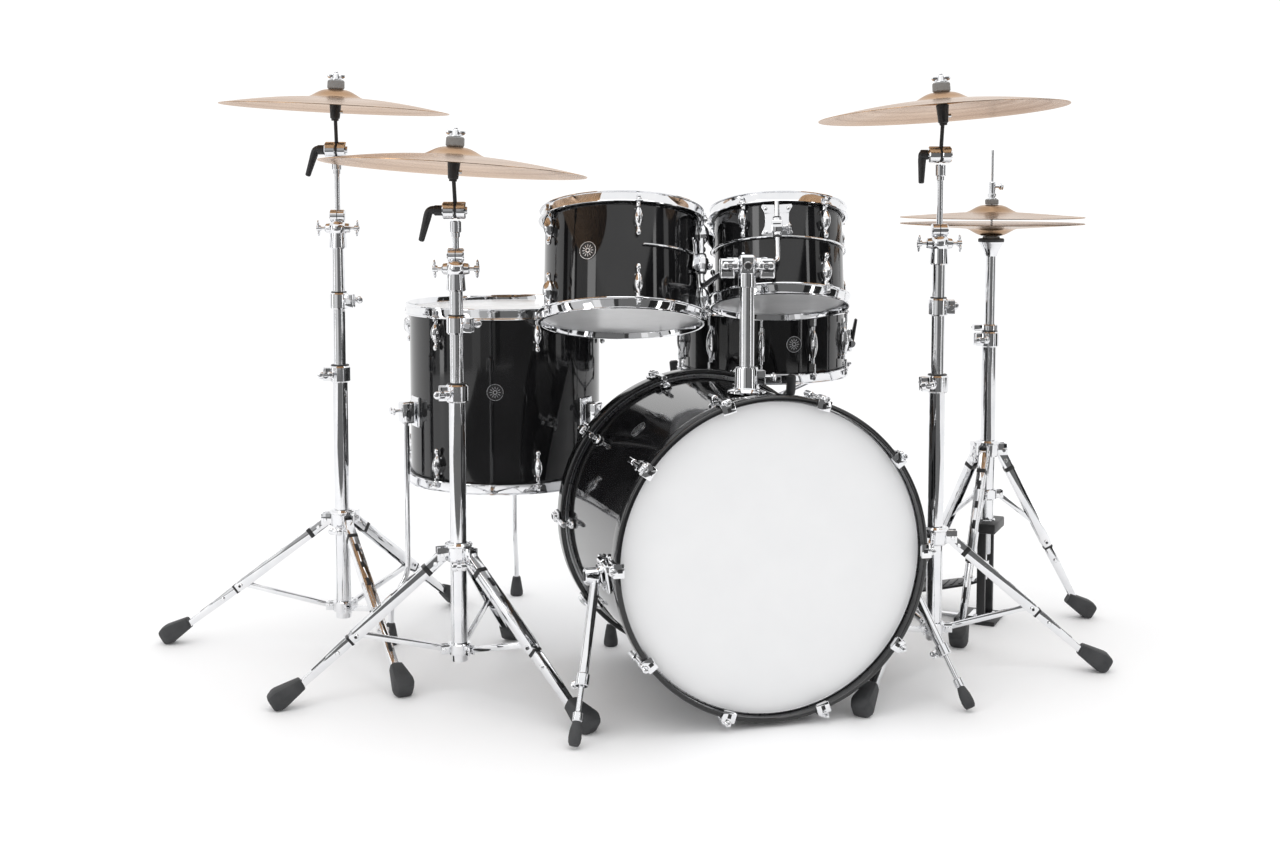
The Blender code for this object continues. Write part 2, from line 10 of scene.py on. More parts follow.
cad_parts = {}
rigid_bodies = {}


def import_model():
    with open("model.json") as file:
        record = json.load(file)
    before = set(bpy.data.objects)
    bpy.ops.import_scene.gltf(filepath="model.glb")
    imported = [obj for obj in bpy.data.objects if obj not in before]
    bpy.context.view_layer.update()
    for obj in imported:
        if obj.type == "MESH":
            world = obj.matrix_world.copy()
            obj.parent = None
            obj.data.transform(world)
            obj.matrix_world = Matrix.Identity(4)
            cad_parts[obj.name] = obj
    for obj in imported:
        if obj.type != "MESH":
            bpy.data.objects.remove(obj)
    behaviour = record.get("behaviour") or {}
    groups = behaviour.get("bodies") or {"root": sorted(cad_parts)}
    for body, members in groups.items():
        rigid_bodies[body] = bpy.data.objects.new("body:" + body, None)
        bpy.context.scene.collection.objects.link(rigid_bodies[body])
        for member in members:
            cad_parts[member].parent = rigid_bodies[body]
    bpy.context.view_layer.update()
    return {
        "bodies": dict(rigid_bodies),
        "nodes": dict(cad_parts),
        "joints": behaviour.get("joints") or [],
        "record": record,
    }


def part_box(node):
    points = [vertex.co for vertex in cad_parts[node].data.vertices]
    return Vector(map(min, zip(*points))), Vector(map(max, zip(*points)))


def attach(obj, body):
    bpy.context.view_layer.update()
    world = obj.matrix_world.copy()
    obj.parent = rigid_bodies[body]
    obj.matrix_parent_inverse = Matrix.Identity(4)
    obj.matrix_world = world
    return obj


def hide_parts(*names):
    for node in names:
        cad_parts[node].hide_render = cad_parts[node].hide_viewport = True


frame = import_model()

JOINTS = {joint["name"]: joint for joint in frame["record"]["behaviour"]["joints"]}
ORIGIN, EAST, UP = Vector(), Vector((1, 0, 0)), Vector((0, 0, 1))


# ---------------------------------------------------------------- camera, light and floor
def set_camera():
    data = bpy.data.cameras.new("Camera")
    data.lens, data.sensor_width, data.shift_y = 43.6, 36.0, -0.0957
    camera = bpy.data.objects.new("Camera", data)
    camera.location = (-0.003, -3.118, 0.972)
    camera.rotation_euler = (math.radians(90 - 4.5), 0, 0)
    bpy.context.scene.collection.objects.link(camera)
    bpy.context.scene.camera = camera


def area_light(name, place, aim, size, power):
    data = bpy.data.lights.new(name, "AREA")
    data.shape, data.size, data.size_y, data.energy = "RECTANGLE", size[0], size[1], power
    light = bpy.data.objects.new(name, data)
    light.location = place
    light.rotation_euler = (Vector(aim) - Vector(place)).to_track_quat("-Z", "Y").to_euler()
    bpy.context.scene.collection.objects.link(light)


def plain(name, colour, roughness):
    made = bpy.data.materials.new(name)
    made.use_nodes = True
    shader = made.node_tree.nodes["Principled BSDF"]
    shader.inputs["Base Color"].default_value = (*colour, 1)
    shader.inputs["Roughness"].default_value = roughness
    return made


def set_studio():
    world = bpy.data.worlds.new("studio")
    world.use_nodes = True
    world.node_tree.nodes["Background"].inputs["Color"].default_value = (1, 1, 1, 1)
    world.node_tree.nodes["Background"].inputs["Strength"].default_value = 1.08
    bpy.context.scene.world = world
    bpy.context.scene.view_settings.view_transform = "Standard"

    area_light("overhead", (0.0, -0.4, 3.6), (0, 0, 0.4), (3.4, 2.4), 30)
    area_light("left_front", (-3.4, -3.2, 2.2), (0, 0, 0.6), (1.0, 2.2), 20)

    mesh = bpy.data.meshes.new("floor")
    mesh.from_pydata([(-14, -14, 0), (14, -14, 0), (14, 14, 0), (-14, 14, 0)], [], [(0, 1, 2, 3)])
    floor = bpy.data.objects.new("floor", mesh)
    mesh.materials.append(plain("floor", (0.95, 0.95, 0.955), 0.6))
    bpy.context.scene.collection.objects.link(floor)

    panels = ((-186, -178, 0.02), (-178, -171, 0.5), (-171, -165, 3.2), (-165, -161, 0.02), (-161, -128, 0.62),
              (-128, -118, 0.9), (-118, -100, 0.42), (-100, -94, 0.05), (-94, -52, 0.16), (-52, -40, 0.02),
              (-40, -35, 3.0), (-35, -22, 0.02), (-22, -14, 1.0), (-14, 10, 0.02))
    for number, (start, end, brightness) in enumerate(panels):
        angles = [math.radians(start + (end - start) * k / 6) for k in range(7)]
        corners = [(5 * math.cos(a), 5 * math.sin(a), z) for z in (0.01, 3.1) for a in angles]
        add_panel(f"panel_{number}", corners, [(k, k + 1, k + 8, k + 7) for k in range(6)], brightness)
    add_panel("front_floor", [(-2.6, -1.5, 0.004), (-2.6, -4.9, 0.004), (2.6, -4.9, 0.004), (2.6, -1.5, 0.004)],
              [(0, 1, 2, 3)], 0.16)


def add_panel(name, corners, faces, brightness):
    mesh = bpy.data.meshes.new(name)
    mesh.from_pydata(corners, [], faces)
    glow = bpy.data.materials.new(name)
    glow.use_nodes = True
    tree = glow.node_tree
    tree.nodes.clear()
    light = tree.nodes.new("ShaderNodeEmission")
    light.inputs["Strength"].default_value = brightness
    tree.links.new(light.outputs[0], tree.nodes.new("ShaderNodeOutputMaterial").inputs[0])
    mesh.materials.append(glow)
    panel = bpy.data.objects.new(name, mesh)
    bpy.context.scene.collection.objects.link(panel)
    panel.visible_camera = panel.visible_diffuse = panel.visible_shadow = False


# ---------------------------------------------------------------- finishes
class Nodes:
    """Short calls for a material's node tree."""

    def __init__(self, name):
        self.material = bpy.data.materials.new(name)
        self.material.use_nodes = True
        self.tree = self.material.node_tree
        self.shader = self.tree.nodes["Principled BSDF"]
        self.place = self.tree.nodes.new("ShaderNodeTexCoord").outputs["Object"]

    def new(self, kind, inputs=(), **settings):
        node = self.tree.nodes.new("ShaderNode" + kind)
        for key, value in settings.items():
            setattr(node, key, value)
        for key, value in dict(inputs).items():
            if isinstance(value, bpy.types.NodeSocket):
                self.tree.links.new(value, node.inputs[key])
            else:
                node.inputs[key].default_value = value
        return node

    def noise(self, scale, detail=3.0, roughness=0.55):
        inputs = {"Vector": self.place, "Scale": scale, "Detail": detail, "Roughness": roughness}
        return self.new("TexNoise", inputs).outputs["Fac"]

    def span(self, value, low, high, start=0.3, end=0.7):
        made = self.new("MapRange", {"Value": value, "From Min": start, "From Max": end,
                                     "To Min": low, "To Max": high})
        return made.outputs["Result"]

    def mix(self, factor, first, second):
        made = self.new("Mix", data_type="RGBA")
        self.tree.links.new(factor, made.inputs["Factor"])
        for socket, value in ((made.inputs[6], first), (made.inputs[7], second)):
            if isinstance(value, bpy.types.NodeSocket):
                self.tree.links.new(value, socket)
            else:
                socket.default_value = (*value, 1)
        return made.outputs[2]

    def math(self, operation, *values):
        made = self.new("Math", operation=operation)
        for socket, value in zip(made.inputs, values):
            if isinstance(value, bpy.types.NodeSocket):
                self.tree.links.new(value, socket)
            else:
                socket.default_value = value
        return made.outputs[0]

    def bump(self, height, strength, distance, under=None):
        inputs = {"Height": height, "Strength": strength, "Distance": distance}
        if under:
            inputs["Normal"] = under
        return self.new("Bump", inputs).outputs["Normal"]

    def surface(self, **inputs):
        for key, value in inputs.items():
            socket = self.shader.inputs[key.replace("_", " ").title().replace("Ior", "IOR")]
            if isinstance(value, bpy.types.NodeSocket):
                self.tree.links.new(value, socket)
            elif isinstance(value, tuple) and len(value) == 3:
                socket.default_value = (*value, 1)
            else:
                socket.default_value = value
        return self.material

    def radius(self):
        flat = self.new("VectorMath", {0: self.place, 1: (1, 1, 0)}, operation="MULTIPLY").outputs[0]
        return self.new("VectorMath", {0: flat}, operation="LENGTH").outputs["Value"]


def lacquer(name, colour, haze):
    n = Nodes(name)
    cloud = n.noise(9.0, 4.0)
    dust = n.noise(900.0, 2.0)
    peel = n.noise(240.0, 2.0)
    base = n.mix(n.span(cloud, 0, 1), colour, tuple(c * 1.7 + 0.002 for c in colour))
    rough = n.math("ADD", n.span(cloud, haze, haze + 0.03), n.span(dust, 0.0, 0.04, 0.62, 0.8))
    n.surface(base_color=base, roughness=rough, normal=n.bump(peel, 0.03, 0.0003))
    return n.surface(coat_weight=0.2, coat_roughness=0.03, specular_ior_level=0.45)


def chrome():
    n = Nodes("chrome")
    smudge = n.noise(26.0, 5.0)
    fine = n.noise(420.0, 3.0)
    wavy = n.noise(60.0, 2.0)
    base = n.mix(n.span(smudge, 0, 1), (0.84, 0.84, 0.85), (0.76, 0.77, 0.79))
    rough = n.math("ADD", n.span(smudge, 0.03, 0.08), n.span(fine, 0.0, 0.04, 0.55, 0.8))
    n.surface(base_color=base, roughness=rough, normal=n.bump(wavy, 0.05, 0.0006))
    return n.surface(metallic=1.0)


def alloy():
    n = Nodes("alloy")
    grain = n.noise(160.0, 4.0)
    fine = n.noise(1500.0, 2.0)
    base = n.mix(n.span(grain, 0, 1), (0.72, 0.72, 0.73), (0.58, 0.59, 0.61))
    n.surface(base_color=base, roughness=n.span(grain, 0.24, 0.36), normal=n.bump(fine, 0.15, 0.0002))
    return n.surface(metallic=1.0)


def bronze(name, light, dark, rings):
    n = Nodes(name)
    radius = n.radius()
    line = n.new("CombineXYZ", {"X": radius}).outputs[0]
    lathe_marks = n.new("TexNoise", {"Vector": line, "Scale": rings, "Detail": 3.0}).outputs["Fac"]
    bands = n.new("TexNoise", {"Vector": line, "Scale": 42.0, "Detail": 2.0}).outputs["Fac"]
    cloud = n.noise(7.0, 4.0)
    hammer = n.noise(34.0, 2.0)
    base = n.mix(n.span(bands, 0, 1, 0.35, 0.65), light, dark)
    base = n.mix(n.span(cloud, 0.0, 0.30), base, tuple(c * 0.86 for c in dark))
    bumped = n.bump(hammer, 0.02, 0.0010)
    bumped = n.bump(lathe_marks, 0.03, 0.0003, bumped)
    rough = n.math("ADD", n.span(bands, 0.20, 0.28), n.span(cloud, 0.0, 0.06))
    tangent = n.new("Tangent", direction_type="RADIAL", axis="Z").outputs[0]
    n.surface(base_color=base, roughness=rough, normal=bumped, tangent=tangent)
    return n.surface(metallic=1.0, anisotropic=0.5)


def moulded(name, colour, high, roughness, grain):
    n = Nodes(name)
    pits = n.noise(grain, 3.0)
    cloud = n.noise(30.0, 4.0)
    base = n.mix(n.span(cloud, 0, 1), colour, high)
    n.surface(base_color=base, roughness=n.span(cloud, roughness, roughness + 0.14))
    return n.surface(normal=n.bump(pits, 0.35, 0.0005), specular_ior_level=0.4)


def felt():
    n = Nodes("felt")
    fibre = n.noise(1400.0, 6.0, roughness=0.8)
    lump = n.noise(180.0, 4.0)
    base = n.mix(n.span(fibre, 0, 1), (0.17, 0.17, 0.17), (0.27, 0.27, 0.265))
    bumped = n.bump(fibre, 0.8, 0.0010, n.bump(lump, 0.6, 0.0012))
    n.surface(base_color=base, roughness=n.span(lump, 0.88, 1.0), normal=bumped)
    return n.surface(sheen_weight=0.15, sheen_roughness=0.5)


def film(name, low, high, roughness, coarse, through=0.0):
    n = Nodes(name)
    speck = n.noise(1600.0, 3.0)
    cloud = n.noise(12.0, 4.0)
    base = n.mix(n.span(cloud, 0, 1), low, high)
    n.surface(base_color=base, roughness=n.span(cloud, roughness, roughness + 0.08))
    n.surface(normal=n.bump(speck, coarse, 0.0004))
    if through:
        n.surface(alpha=1.0 - through)
    return n.material


def make_finishes():
    return {
        "lacquer": lacquer("black_lacquer", (0.0045, 0.0045, 0.005), 0.045),
        "hoop_lacquer": lacquer("hoop_lacquer", (0.006, 0.006, 0.0065), 0.06),
        "chrome": chrome(),
        "alloy": alloy(),
        "bronze": bronze("bronze", (0.57, 0.36, 0.205), (0.42, 0.252, 0.136), 1500.0),
        "hat_bronze": bronze("hat_bronze", (0.53, 0.34, 0.195), (0.38, 0.232, 0.128), 1900.0),
        "plastic": moulded("black_plastic", (0.013, 0.013, 0.014), (0.026, 0.026, 0.027), 0.34, 700.0),
        "rubber": moulded("rubber", (0.030, 0.031, 0.033), (0.055, 0.056, 0.058), 0.55, 520.0),
        "felt": felt(),
        "white_film": film("white_film", (0.765, 0.768, 0.775), (0.785, 0.787, 0.792), 0.42, 0.25),
        "clear_film": film("clear_film", (0.84, 0.845, 0.855), (0.92, 0.92, 0.93), 0.16, 0.04, through=0.16),
        "wires": alloy(),
    }


# ---------------------------------------------------------------- shapes: (points, faces)
def lathe(profile, segments=48):
    """A closed outline of (radius, height) turned about Z."""
    points, rings, faces = [], [], []
    for radius, height in profile:
        if radius < 1e-7:
            rings.append([len(points)] * segments)
            points.append(Vector((0, 0, height)))
            continue
        rings.append(list(range(len(points), len(points) + segments)))
        for k in range(segments):
            turn = 2 * math.pi * k / segments
            points.append(Vector((radius * math.cos(turn), radius * math.sin(turn), height)))
    closed = profile[0][0] > 1e-7
    pairs = zip(rings, rings[1:] + rings[:1]) if closed else zip(rings, rings[1:])
    for one, two in pairs:
        for k in range(segments):
            nxt = (k + 1) % segments
            corner = [one[k], one[nxt], two[nxt], two[k]]
            kept = [c for i, c in enumerate(corner) if c != corner[i - 1]]
            if len(kept) > 2:
                faces.append(kept)
    return points, faces


def shift(*place):
    return Matrix.Translation(place[0] if len(place) == 1 else place)


def spin(degrees, axis="Z"):
    return Matrix.Rotation(math.radians(degrees), 4, axis)


def turned(x, y, z):
    """The rotation that takes the axes to these three."""
    return Matrix((x, y, z)).transposed().to_4x4()


def moved(shape, matrix):
    return [matrix @ point for point in shape[0]], shape[1]


def scaled(shape, x, y, z):
    return moved(shape, Matrix.Diagonal((x, y, z, 1)))


def joined(*shapes):
    points, faces = [], []
    for part_points, part_faces in shapes:
        first = len(points)
        points += part_points
        faces += [[first + corner for corner in face] for face in part_faces]
    return points, faces


def aimed(start, end):
    """A frame at start whose Z points to end."""
    run = Vector(end) - Vector(start)
    return shift(start) @ run.to_track_quat("Z", "Y").to_matrix().to_4x4()


def solid_profile(radius, end_radius, length, edge):
    return [(0, 0), (radius - edge, 0), (radius, edge), (end_radius, length - edge),
            (end_radius - edge, length), (0, length)]


def rod(start, end, radius, end_radius=None, segments=20, edge=0.0006):
    """A round bar with broken edges."""
    length = (Vector(end) - Vector(start)).length
    tip = radius if end_radius is None else end_radius
    return moved(lathe(solid_profile(radius, tip, length, edge), segments), aimed(start, end))


def ball(place, radius, squash=1.0, axis=UP, segments=24):
    steps = 10
    outline = [(radius * math.sin(math.pi * k / steps), radius * squash * math.cos(math.pi * k / steps))
               for k in range(steps + 1)]
    outline[0], outline[-1] = (0, radius * squash), (0, -radius * squash)
    return moved(lathe(outline, segments), aimed(place, Vector(place) + Vector(axis)))


def block(size, matrix=Matrix.Identity(4), edge=0.0012, steps=2, taper=1.0):
    """A box with rounded edges. Taper narrows its top in X."""
    shape = bmesh.new()
    bmesh.ops.create_cube(shape, size=1.0)
    for vert in shape.verts:
        if vert.co.z > 0:
            vert.co.x *= taper
    bmesh.ops.scale(shape, vec=size, verts=shape.verts)
    if edge:
        bmesh.ops.bevel(shape, geom=shape.edges[:], offset=edge, segments=steps, affect="EDGES", profile=0.5)
    return read_out(shape, matrix)


def read_out(shape, matrix=Matrix.Identity(4)):
    shape.verts.index_update()
    points = [matrix @ vert.co for vert in shape.verts]
    faces = [[vert.index for vert in face.verts] for face in shape.faces]
    shape.free()
    return points, faces


def plate(outline, thickness, matrix=Matrix.Identity(4), edge=0.0006):
    """A flat outline in XY, thickened both ways along Z, with broken edges."""
    shape = bmesh.new()
    lower = [shape.verts.new((x, y, -thickness / 2)) for x, y in outline]
    face = shape.faces.new(lower)
    extruded = bmesh.ops.extrude_face_region(shape, geom=[face])["geom"]
    top = [item for item in extruded if isinstance(item, bmesh.types.BMVert)]
    bmesh.ops.translate(shape, vec=(0, 0, thickness), verts=top)
    if edge:
        rims = [e for e in shape.edges if abs(e.verts[0].co.z - e.verts[1].co.z) < 1e-9]
        bmesh.ops.bevel(shape, geom=rims, offset=edge, segments=2, affect="EDGES", profile=0.5)
    return read_out(shape, matrix)


def tube(route, radius, segments=14, corner=0.0, edge=0.0008):
    """A round bar along a route, with its corners bent."""
    path = bent(route, corner)
    points, faces, rings = [], [], []
    side = None
    for k, place in enumerate(path):
        run = (path[min(k + 1, len(path) - 1)] - path[max(k - 1, 0)]).normalized()
        if side is None:
            side = run.orthogonal().normalized()
        side = (side - run * side.dot(run)).normalized()
        other = run.cross(side)
        grown = [(-edge, radius - edge), (0, radius)] if k == 0 else [(0, radius)]
        if k == len(path) - 1:
            grown = [(0, radius), (edge, radius - edge)]
        for ahead, wide in grown:
            rings.append(list(range(len(points), len(points) + segments)))
            for j in range(segments):
                turn = 2 * math.pi * j / segments
                offset = side * math.cos(turn) + other * math.sin(turn)
                points.append(place + run * ahead + offset * wide)
    for one, two in zip(rings, rings[1:]):
        faces += [[one[j], one[(j + 1) % segments], two[(j + 1) % segments], two[j]] for j in range(segments)]
    faces += [rings[0][::-1], rings[-1]]
    return points, faces


def bent(route, corner):
    route = [Vector(place) for place in route]
    if not corner:
        return route
    path = [route[0]]
    for before, place, after in zip(route, route[1:], route[2:]):
        reach = min(corner, (place - before).length * 0.48, (after - place).length * 0.48)
        start = place + (before - place).normalized() * reach
        end = place + (after - place).normalized() * reach
        for k in range(8):
            t = k / 7
            path.append(start * (1 - t) ** 2 + place * 2 * t * (1 - t) + end * t ** 2)
    return path + [route[-1]]


class Piece:
    """One visible piece, as one object for each finish. It stands for the CAD node of its name, if there is one."""

    def __init__(self, name, body, frame=Matrix.Identity(4), node=True):
        self.name, self.body, self.frame, self.node = name, body, frame, node
        self.shapes = {}

    def add(self, finish, *shapes):
        self.shapes.setdefault(finish, []).extend(shapes)
        return self

    def chrome(self, *shapes):
        return self.add("chrome", *shapes)

    def plastic(self, *shapes):
        return self.add("plastic", *shapes)

    def bars(self, origin, axis, rows):
        """Round bars along an axis: (finish, from, to, radius, end radius, segments, edge)."""
        for finish, start, end, *rest in rows:
            self.add(finish, rod(origin + axis * start, origin + axis * end, *rest))
        return self

    def done(self, sharp=32):
        for number, (finish, shapes) in enumerate(self.shapes.items()):
            points, faces = joined(*shapes)
            name = self.name if number == 0 else f"{self.name}_{finish}"
            mesh = bpy.data.meshes.new(name)
            mesh.from_pydata([tuple(point) for point in points], [], faces)
            shape = bmesh.new()
            shape.from_mesh(mesh)
            bmesh.ops.recalc_face_normals(shape, faces=shape.faces)
            shape.to_mesh(mesh)
            shape.free()
            mesh.shade_smooth()
            mesh.set_sharp_from_angle(angle=math.radians(sharp))
            mesh.materials.append(FINISHES[finish])
            made = bpy.data.objects.new(name, mesh)
            made.matrix_world = self.frame
            bpy.context.scene.collection.objects.link(made)
            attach(made, self.body)
            if number == 0 and self.node:
                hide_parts(self.name)


def middle(node):
    low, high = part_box(node)
    return (low + high) / 2


def polar(radius, bearing, height=0.0, centre=(0, 0)):
    turn = math.radians(bearing)
    return Vector((centre[0] + radius * math.cos(turn), centre[1] + radius * math.sin(turn), height))


def facing(bearing, radius, height):
    """A frame on a drum's side: X out of the shell, Z up, Y along it."""
    turn = spin(bearing)
    return turn @ shift(radius, 0, height)


# ---------------------------------------------------------------- drums
HEAD_RIM_OUT, HOOP_GAP, HOOP_WALL = 0.005, 0.0003, 0.0024
HOOP_ABOVE, HOOP_BELOW = 0.0125, 0.01
FLIP = spin(180, "X")


def wing_screw(span=0.03, shaft=0.018):
    """A screw along +X with two rounded wings."""
    lobe = scaled(ball((0, 0, 0), 0.0078), 0.42, 1.0, 1.0)
    wings = [moved(lobe, shift(shaft, side * span * 0.3, 0)) for side in (-1, 1)]
    web = plate([(-0.003, -span * 0.3), (0.003, -span * 0.3), (0.005, 0), (0.003, span * 0.3),
                 (-0.003, span * 0.3), (-0.002, 0)], 0.0042, shift(shaft, 0, 0))
    return joined(rod((0, 0, 0), (shaft, 0, 0), 0.0032), rod((shaft - 0.006, 0, 0), (shaft + 0.004, 0, 0), 0.0062),
                  web, *wings)


def almond(height, width, depth, swell, reach):
    """A pointed oval along Z, depth out of the shell in X."""
    steps = 12
    outline = []
    for k in range(steps + 1):
        z = -0.5 + k / steps
        outline.append((max(math.cos(math.pi * z), 0.0) ** swell * width / 2, z * height))
    outline[0], outline[-1] = (0, -height / 2), (0, height / 2)
    return scaled(lathe(outline, 24), 2 * depth * reach / width, 1, 1)


def lug(height=0.049, width=0.0185, depth=0.0145, nub=True):
    """A lug's casting and a dark almond on its face, painted shade for the hollow inside its rim. The tension rod
    leaves its +Z end.
    """
    half = height / 2
    body = [almond(height, width, depth, 0.75, 1.0), rod((0, 0, half - 0.006), (0, 0, half + 0.003), 0.0044)]
    if nub:
        body += [ball((0.003, 0, -half - 0.006), 0.0052, 1.25),
                 rod((0.002, 0, -half - 0.004), (0, 0, -half + 0.007), 0.0036, segments=16)]
    # painted shade: a narrow black almond stands for the shaded hollow in the lug
    slot_shade = almond(height * 0.75, 0.005, depth, 0.3, 1.03)
    return joined(*body), slot_shade


def tension_rod(start, end):
    """From a lug to the hoop, with a washer and a square key head past the hoop."""
    start, end = Vector(start), Vector(end)
    run = (end - start).normalized()
    head = aimed(end, end + run)
    return joined(rod(start, end, 0.0027, segments=14),
                  rod(end, end + run * 0.002, 0.0062, segments=20),
                  rod(end + run * 0.0018, end + run * 0.0042, 0.0047, segments=20),
                  moved(block((0.0062, 0.0062, 0.0085), edge=0.0007), head @ shift(0, 0, 0.008)))


def hoop_profile(radius):
    """A flanged steel hoop, local Z = 0 at the shell's edge and +Z away from the shell."""
    inner = radius + HEAD_RIM_OUT + HOOP_GAP
    outer = inner + HOOP_WALL
    return [
        (inner + 0.0004, HOOP_ABOVE - 0.0016), (inner + 0.0012, HOOP_ABOVE - 0.0002),
        (outer + 0.0018, HOOP_ABOVE), (outer + 0.0032, HOOP_ABOVE - 0.0008), (outer + 0.0034, HOOP_ABOVE - 0.0022),
        (outer + 0.0022, HOOP_ABOVE - 0.003), (outer, HOOP_ABOVE - 0.0036),
        (outer, -HOOP_BELOW + 0.0046), (outer + 0.0008, -HOOP_BELOW + 0.003),
        (outer + 0.005, -HOOP_BELOW + 0.0024), (outer + 0.0054, -HOOP_BELOW + 0.0014),
        (outer + 0.005, -HOOP_BELOW + 0.0002), (inner + 0.0012, -HOOP_BELOW), (inner, -HOOP_BELOW + 0.001),
    ]


def drum_hoop(name, body, radius, frame_at_edge, rods, from_lug):
    """The hoop with its tension rods. frame_at_edge has Z out of the shell."""
    made = Piece(name, body, frame_at_edge)
    made.chrome(lathe(hoop_profile(radius), 128))
    ring = radius + HEAD_RIM_OUT + HOOP_GAP + HOOP_WALL + 0.0046
    for bearing in rods:
        ear = facing(bearing, ring, -HOOP_BELOW + 0.0014)
        made.chrome(moved(block((0.0135, 0.016, 0.0034), edge=0.0012), ear @ shift(-0.001, 0, 0)))
        foot, top = polar(ring, bearing, -from_lug), polar(ring, bearing, -HOOP_BELOW + 0.0034)
        made.chrome(tension_rod(foot, top))
    made.done()


def drum_head(name, body, radius, frame_at_edge, finish):
    """The film with its crimped alloy rim."""
    inner = radius + 0.0008
    made = Piece(name, body, frame_at_edge)
    made.add(finish, lathe([(0, 0.0013), (radius * 0.5, 0.0013), (radius - 0.01, 0.0013), (radius - 0.004, 0.001),
                            (radius - 0.001, 0.0006), (inner + 0.0016, 0.0002), (inner + 0.0016, -0.0004),
                            (inner, -0.0002), (radius - 0.001, 0.0003), (radius - 0.006, 0.0006), (0, 0.0007)],
                           128))
    made.add("alloy", lathe([(inner + 0.0012, 0.0008), (inner + 0.0036, 0.0006), (inner + 0.0041, -0.001),
                             (inner + 0.0041, -0.0062), (inner + 0.0034, -0.0069), (inner + 0.0004, -0.0069),
                             (inner + 0.0001, -0.006), (inner + 0.0001, -0.0006)], 128))
    made.done()


def badge(bearing, radius, height):
    """A plain round vent badge: a dark face, and a bright rim, eyelet and rays."""
    face = facing(bearing, radius - 0.0006, height) @ spin(90, "Y")
    disc = lathe([(0, 0.0012), (0.016, 0.0016), (0.016, -0.0006), (0, -0.0006)], 48)
    rims = [lathe([(r - w, 0.0014), (r - w, 0.0024), (r, 0.0024), (r, 0.001)], 48)
            for r, w in ((0.017, 0.0009), (0.0046, 0.0016))]
    rays = [plate([(0.0056, -0.0002), (0.01, -0.0008), (0.0122, 0), (0.01, 0.0008), (0.0056, 0.0002)], 0.0008,
                  spin(30 * k) @ shift(0, 0, 0.0017), edge=0)
            for k in range(12)]
    return moved(disc, face), moved(joined(*rims, *rays), face)


def add_badge(made, *place):
    face, rim = badge(*place)
    made.plastic(face).add("alloy", rim)


def shell_profile(radius, half, wall, edge):
    inner = radius - wall
    return [(radius - edge, half), (radius, half - edge), (radius, -half + edge), (radius - edge, -half),
            (inner + 0.001, -half), (inner, -half + 0.001), (inner, half - 0.001), (inner + 0.001, half)]


def make_shell(name, body, radius, depth, frame_mid, lugs, lug_heights, badge_at=None, extra=()):
    """The shell with its lugs, and its badge."""
    made = Piece(name, body, frame_mid)
    half = depth / 2
    made.add("lacquer", lathe(shell_profile(radius, half, 0.006, 0.0008), 160))
    body, slot_shade = lug()
    for bearing in lugs:
        for height, way in lug_heights:
            turn = facing(bearing, radius + 0.0058, height)
            if way < 0:
                turn = turn @ FLIP
            made.chrome(moved(body, turn))
            # the lug's black almond is painted shade for its hollow
            made.plastic(moved(slot_shade, turn))
            base = facing(bearing, radius + 0.0006, height)
            made.chrome(moved(block((0.0026, 0.012, 0.036), edge=0.001), base))
    if badge_at:
        add_badge(made, badge_at[0], radius, badge_at[1])
    for finish, shape in extra:
        made.add(finish, shape)
    made.done()


def tom_frame(prefix):
    """At the tom's centre, Z along the rod that it slides on."""
    axis = Vector(JOINTS[prefix + "_height"]["axis"])
    return shift(middle(prefix + "_shell")) @ turned(EAST, axis.cross(EAST), axis)


def add_rims(prefix, body, radius, frame_mid, half, lugs, from_lug, top_film):
    """Both hoops with their rods, and both heads."""
    for side, turn, way, film_finish in (("top", Matrix.Identity(4), 1, top_film),
                                         ("bottom", FLIP, -1, "clear_film")):
        edge = frame_mid @ shift(0, 0, way * half) @ turn
        drum_hoop(f"{prefix}_{side}_hoop", body, radius, edge, [way * bearing for bearing in lugs], from_lug)
        drum_head(f"{prefix}_{side}_head", body, radius, edge, film_finish)


def make_tom(prefix, body, frame_mid, radius, depth, lugs, badge_at, extra=(), lug_in=0.038):
    half = depth / 2
    heights = ((half - lug_in, 1), (-half + lug_in, -1))
    make_shell(prefix + "_shell", body, radius, depth, frame_mid, lugs, heights, badge_at=badge_at, extra=extra)
    add_rims(prefix, body, radius, frame_mid, half, lugs, lug_in - 0.024, "clear_film")


def suspension_band(radius, height, start, end):
    """A thin steel band round part of the shell."""
    steps = 40
    route = [polar(radius + 0.0052, start + (end - start) * k / steps, height) for k in range(steps + 1)]
    return tube(route, 0.0021, segments=10)


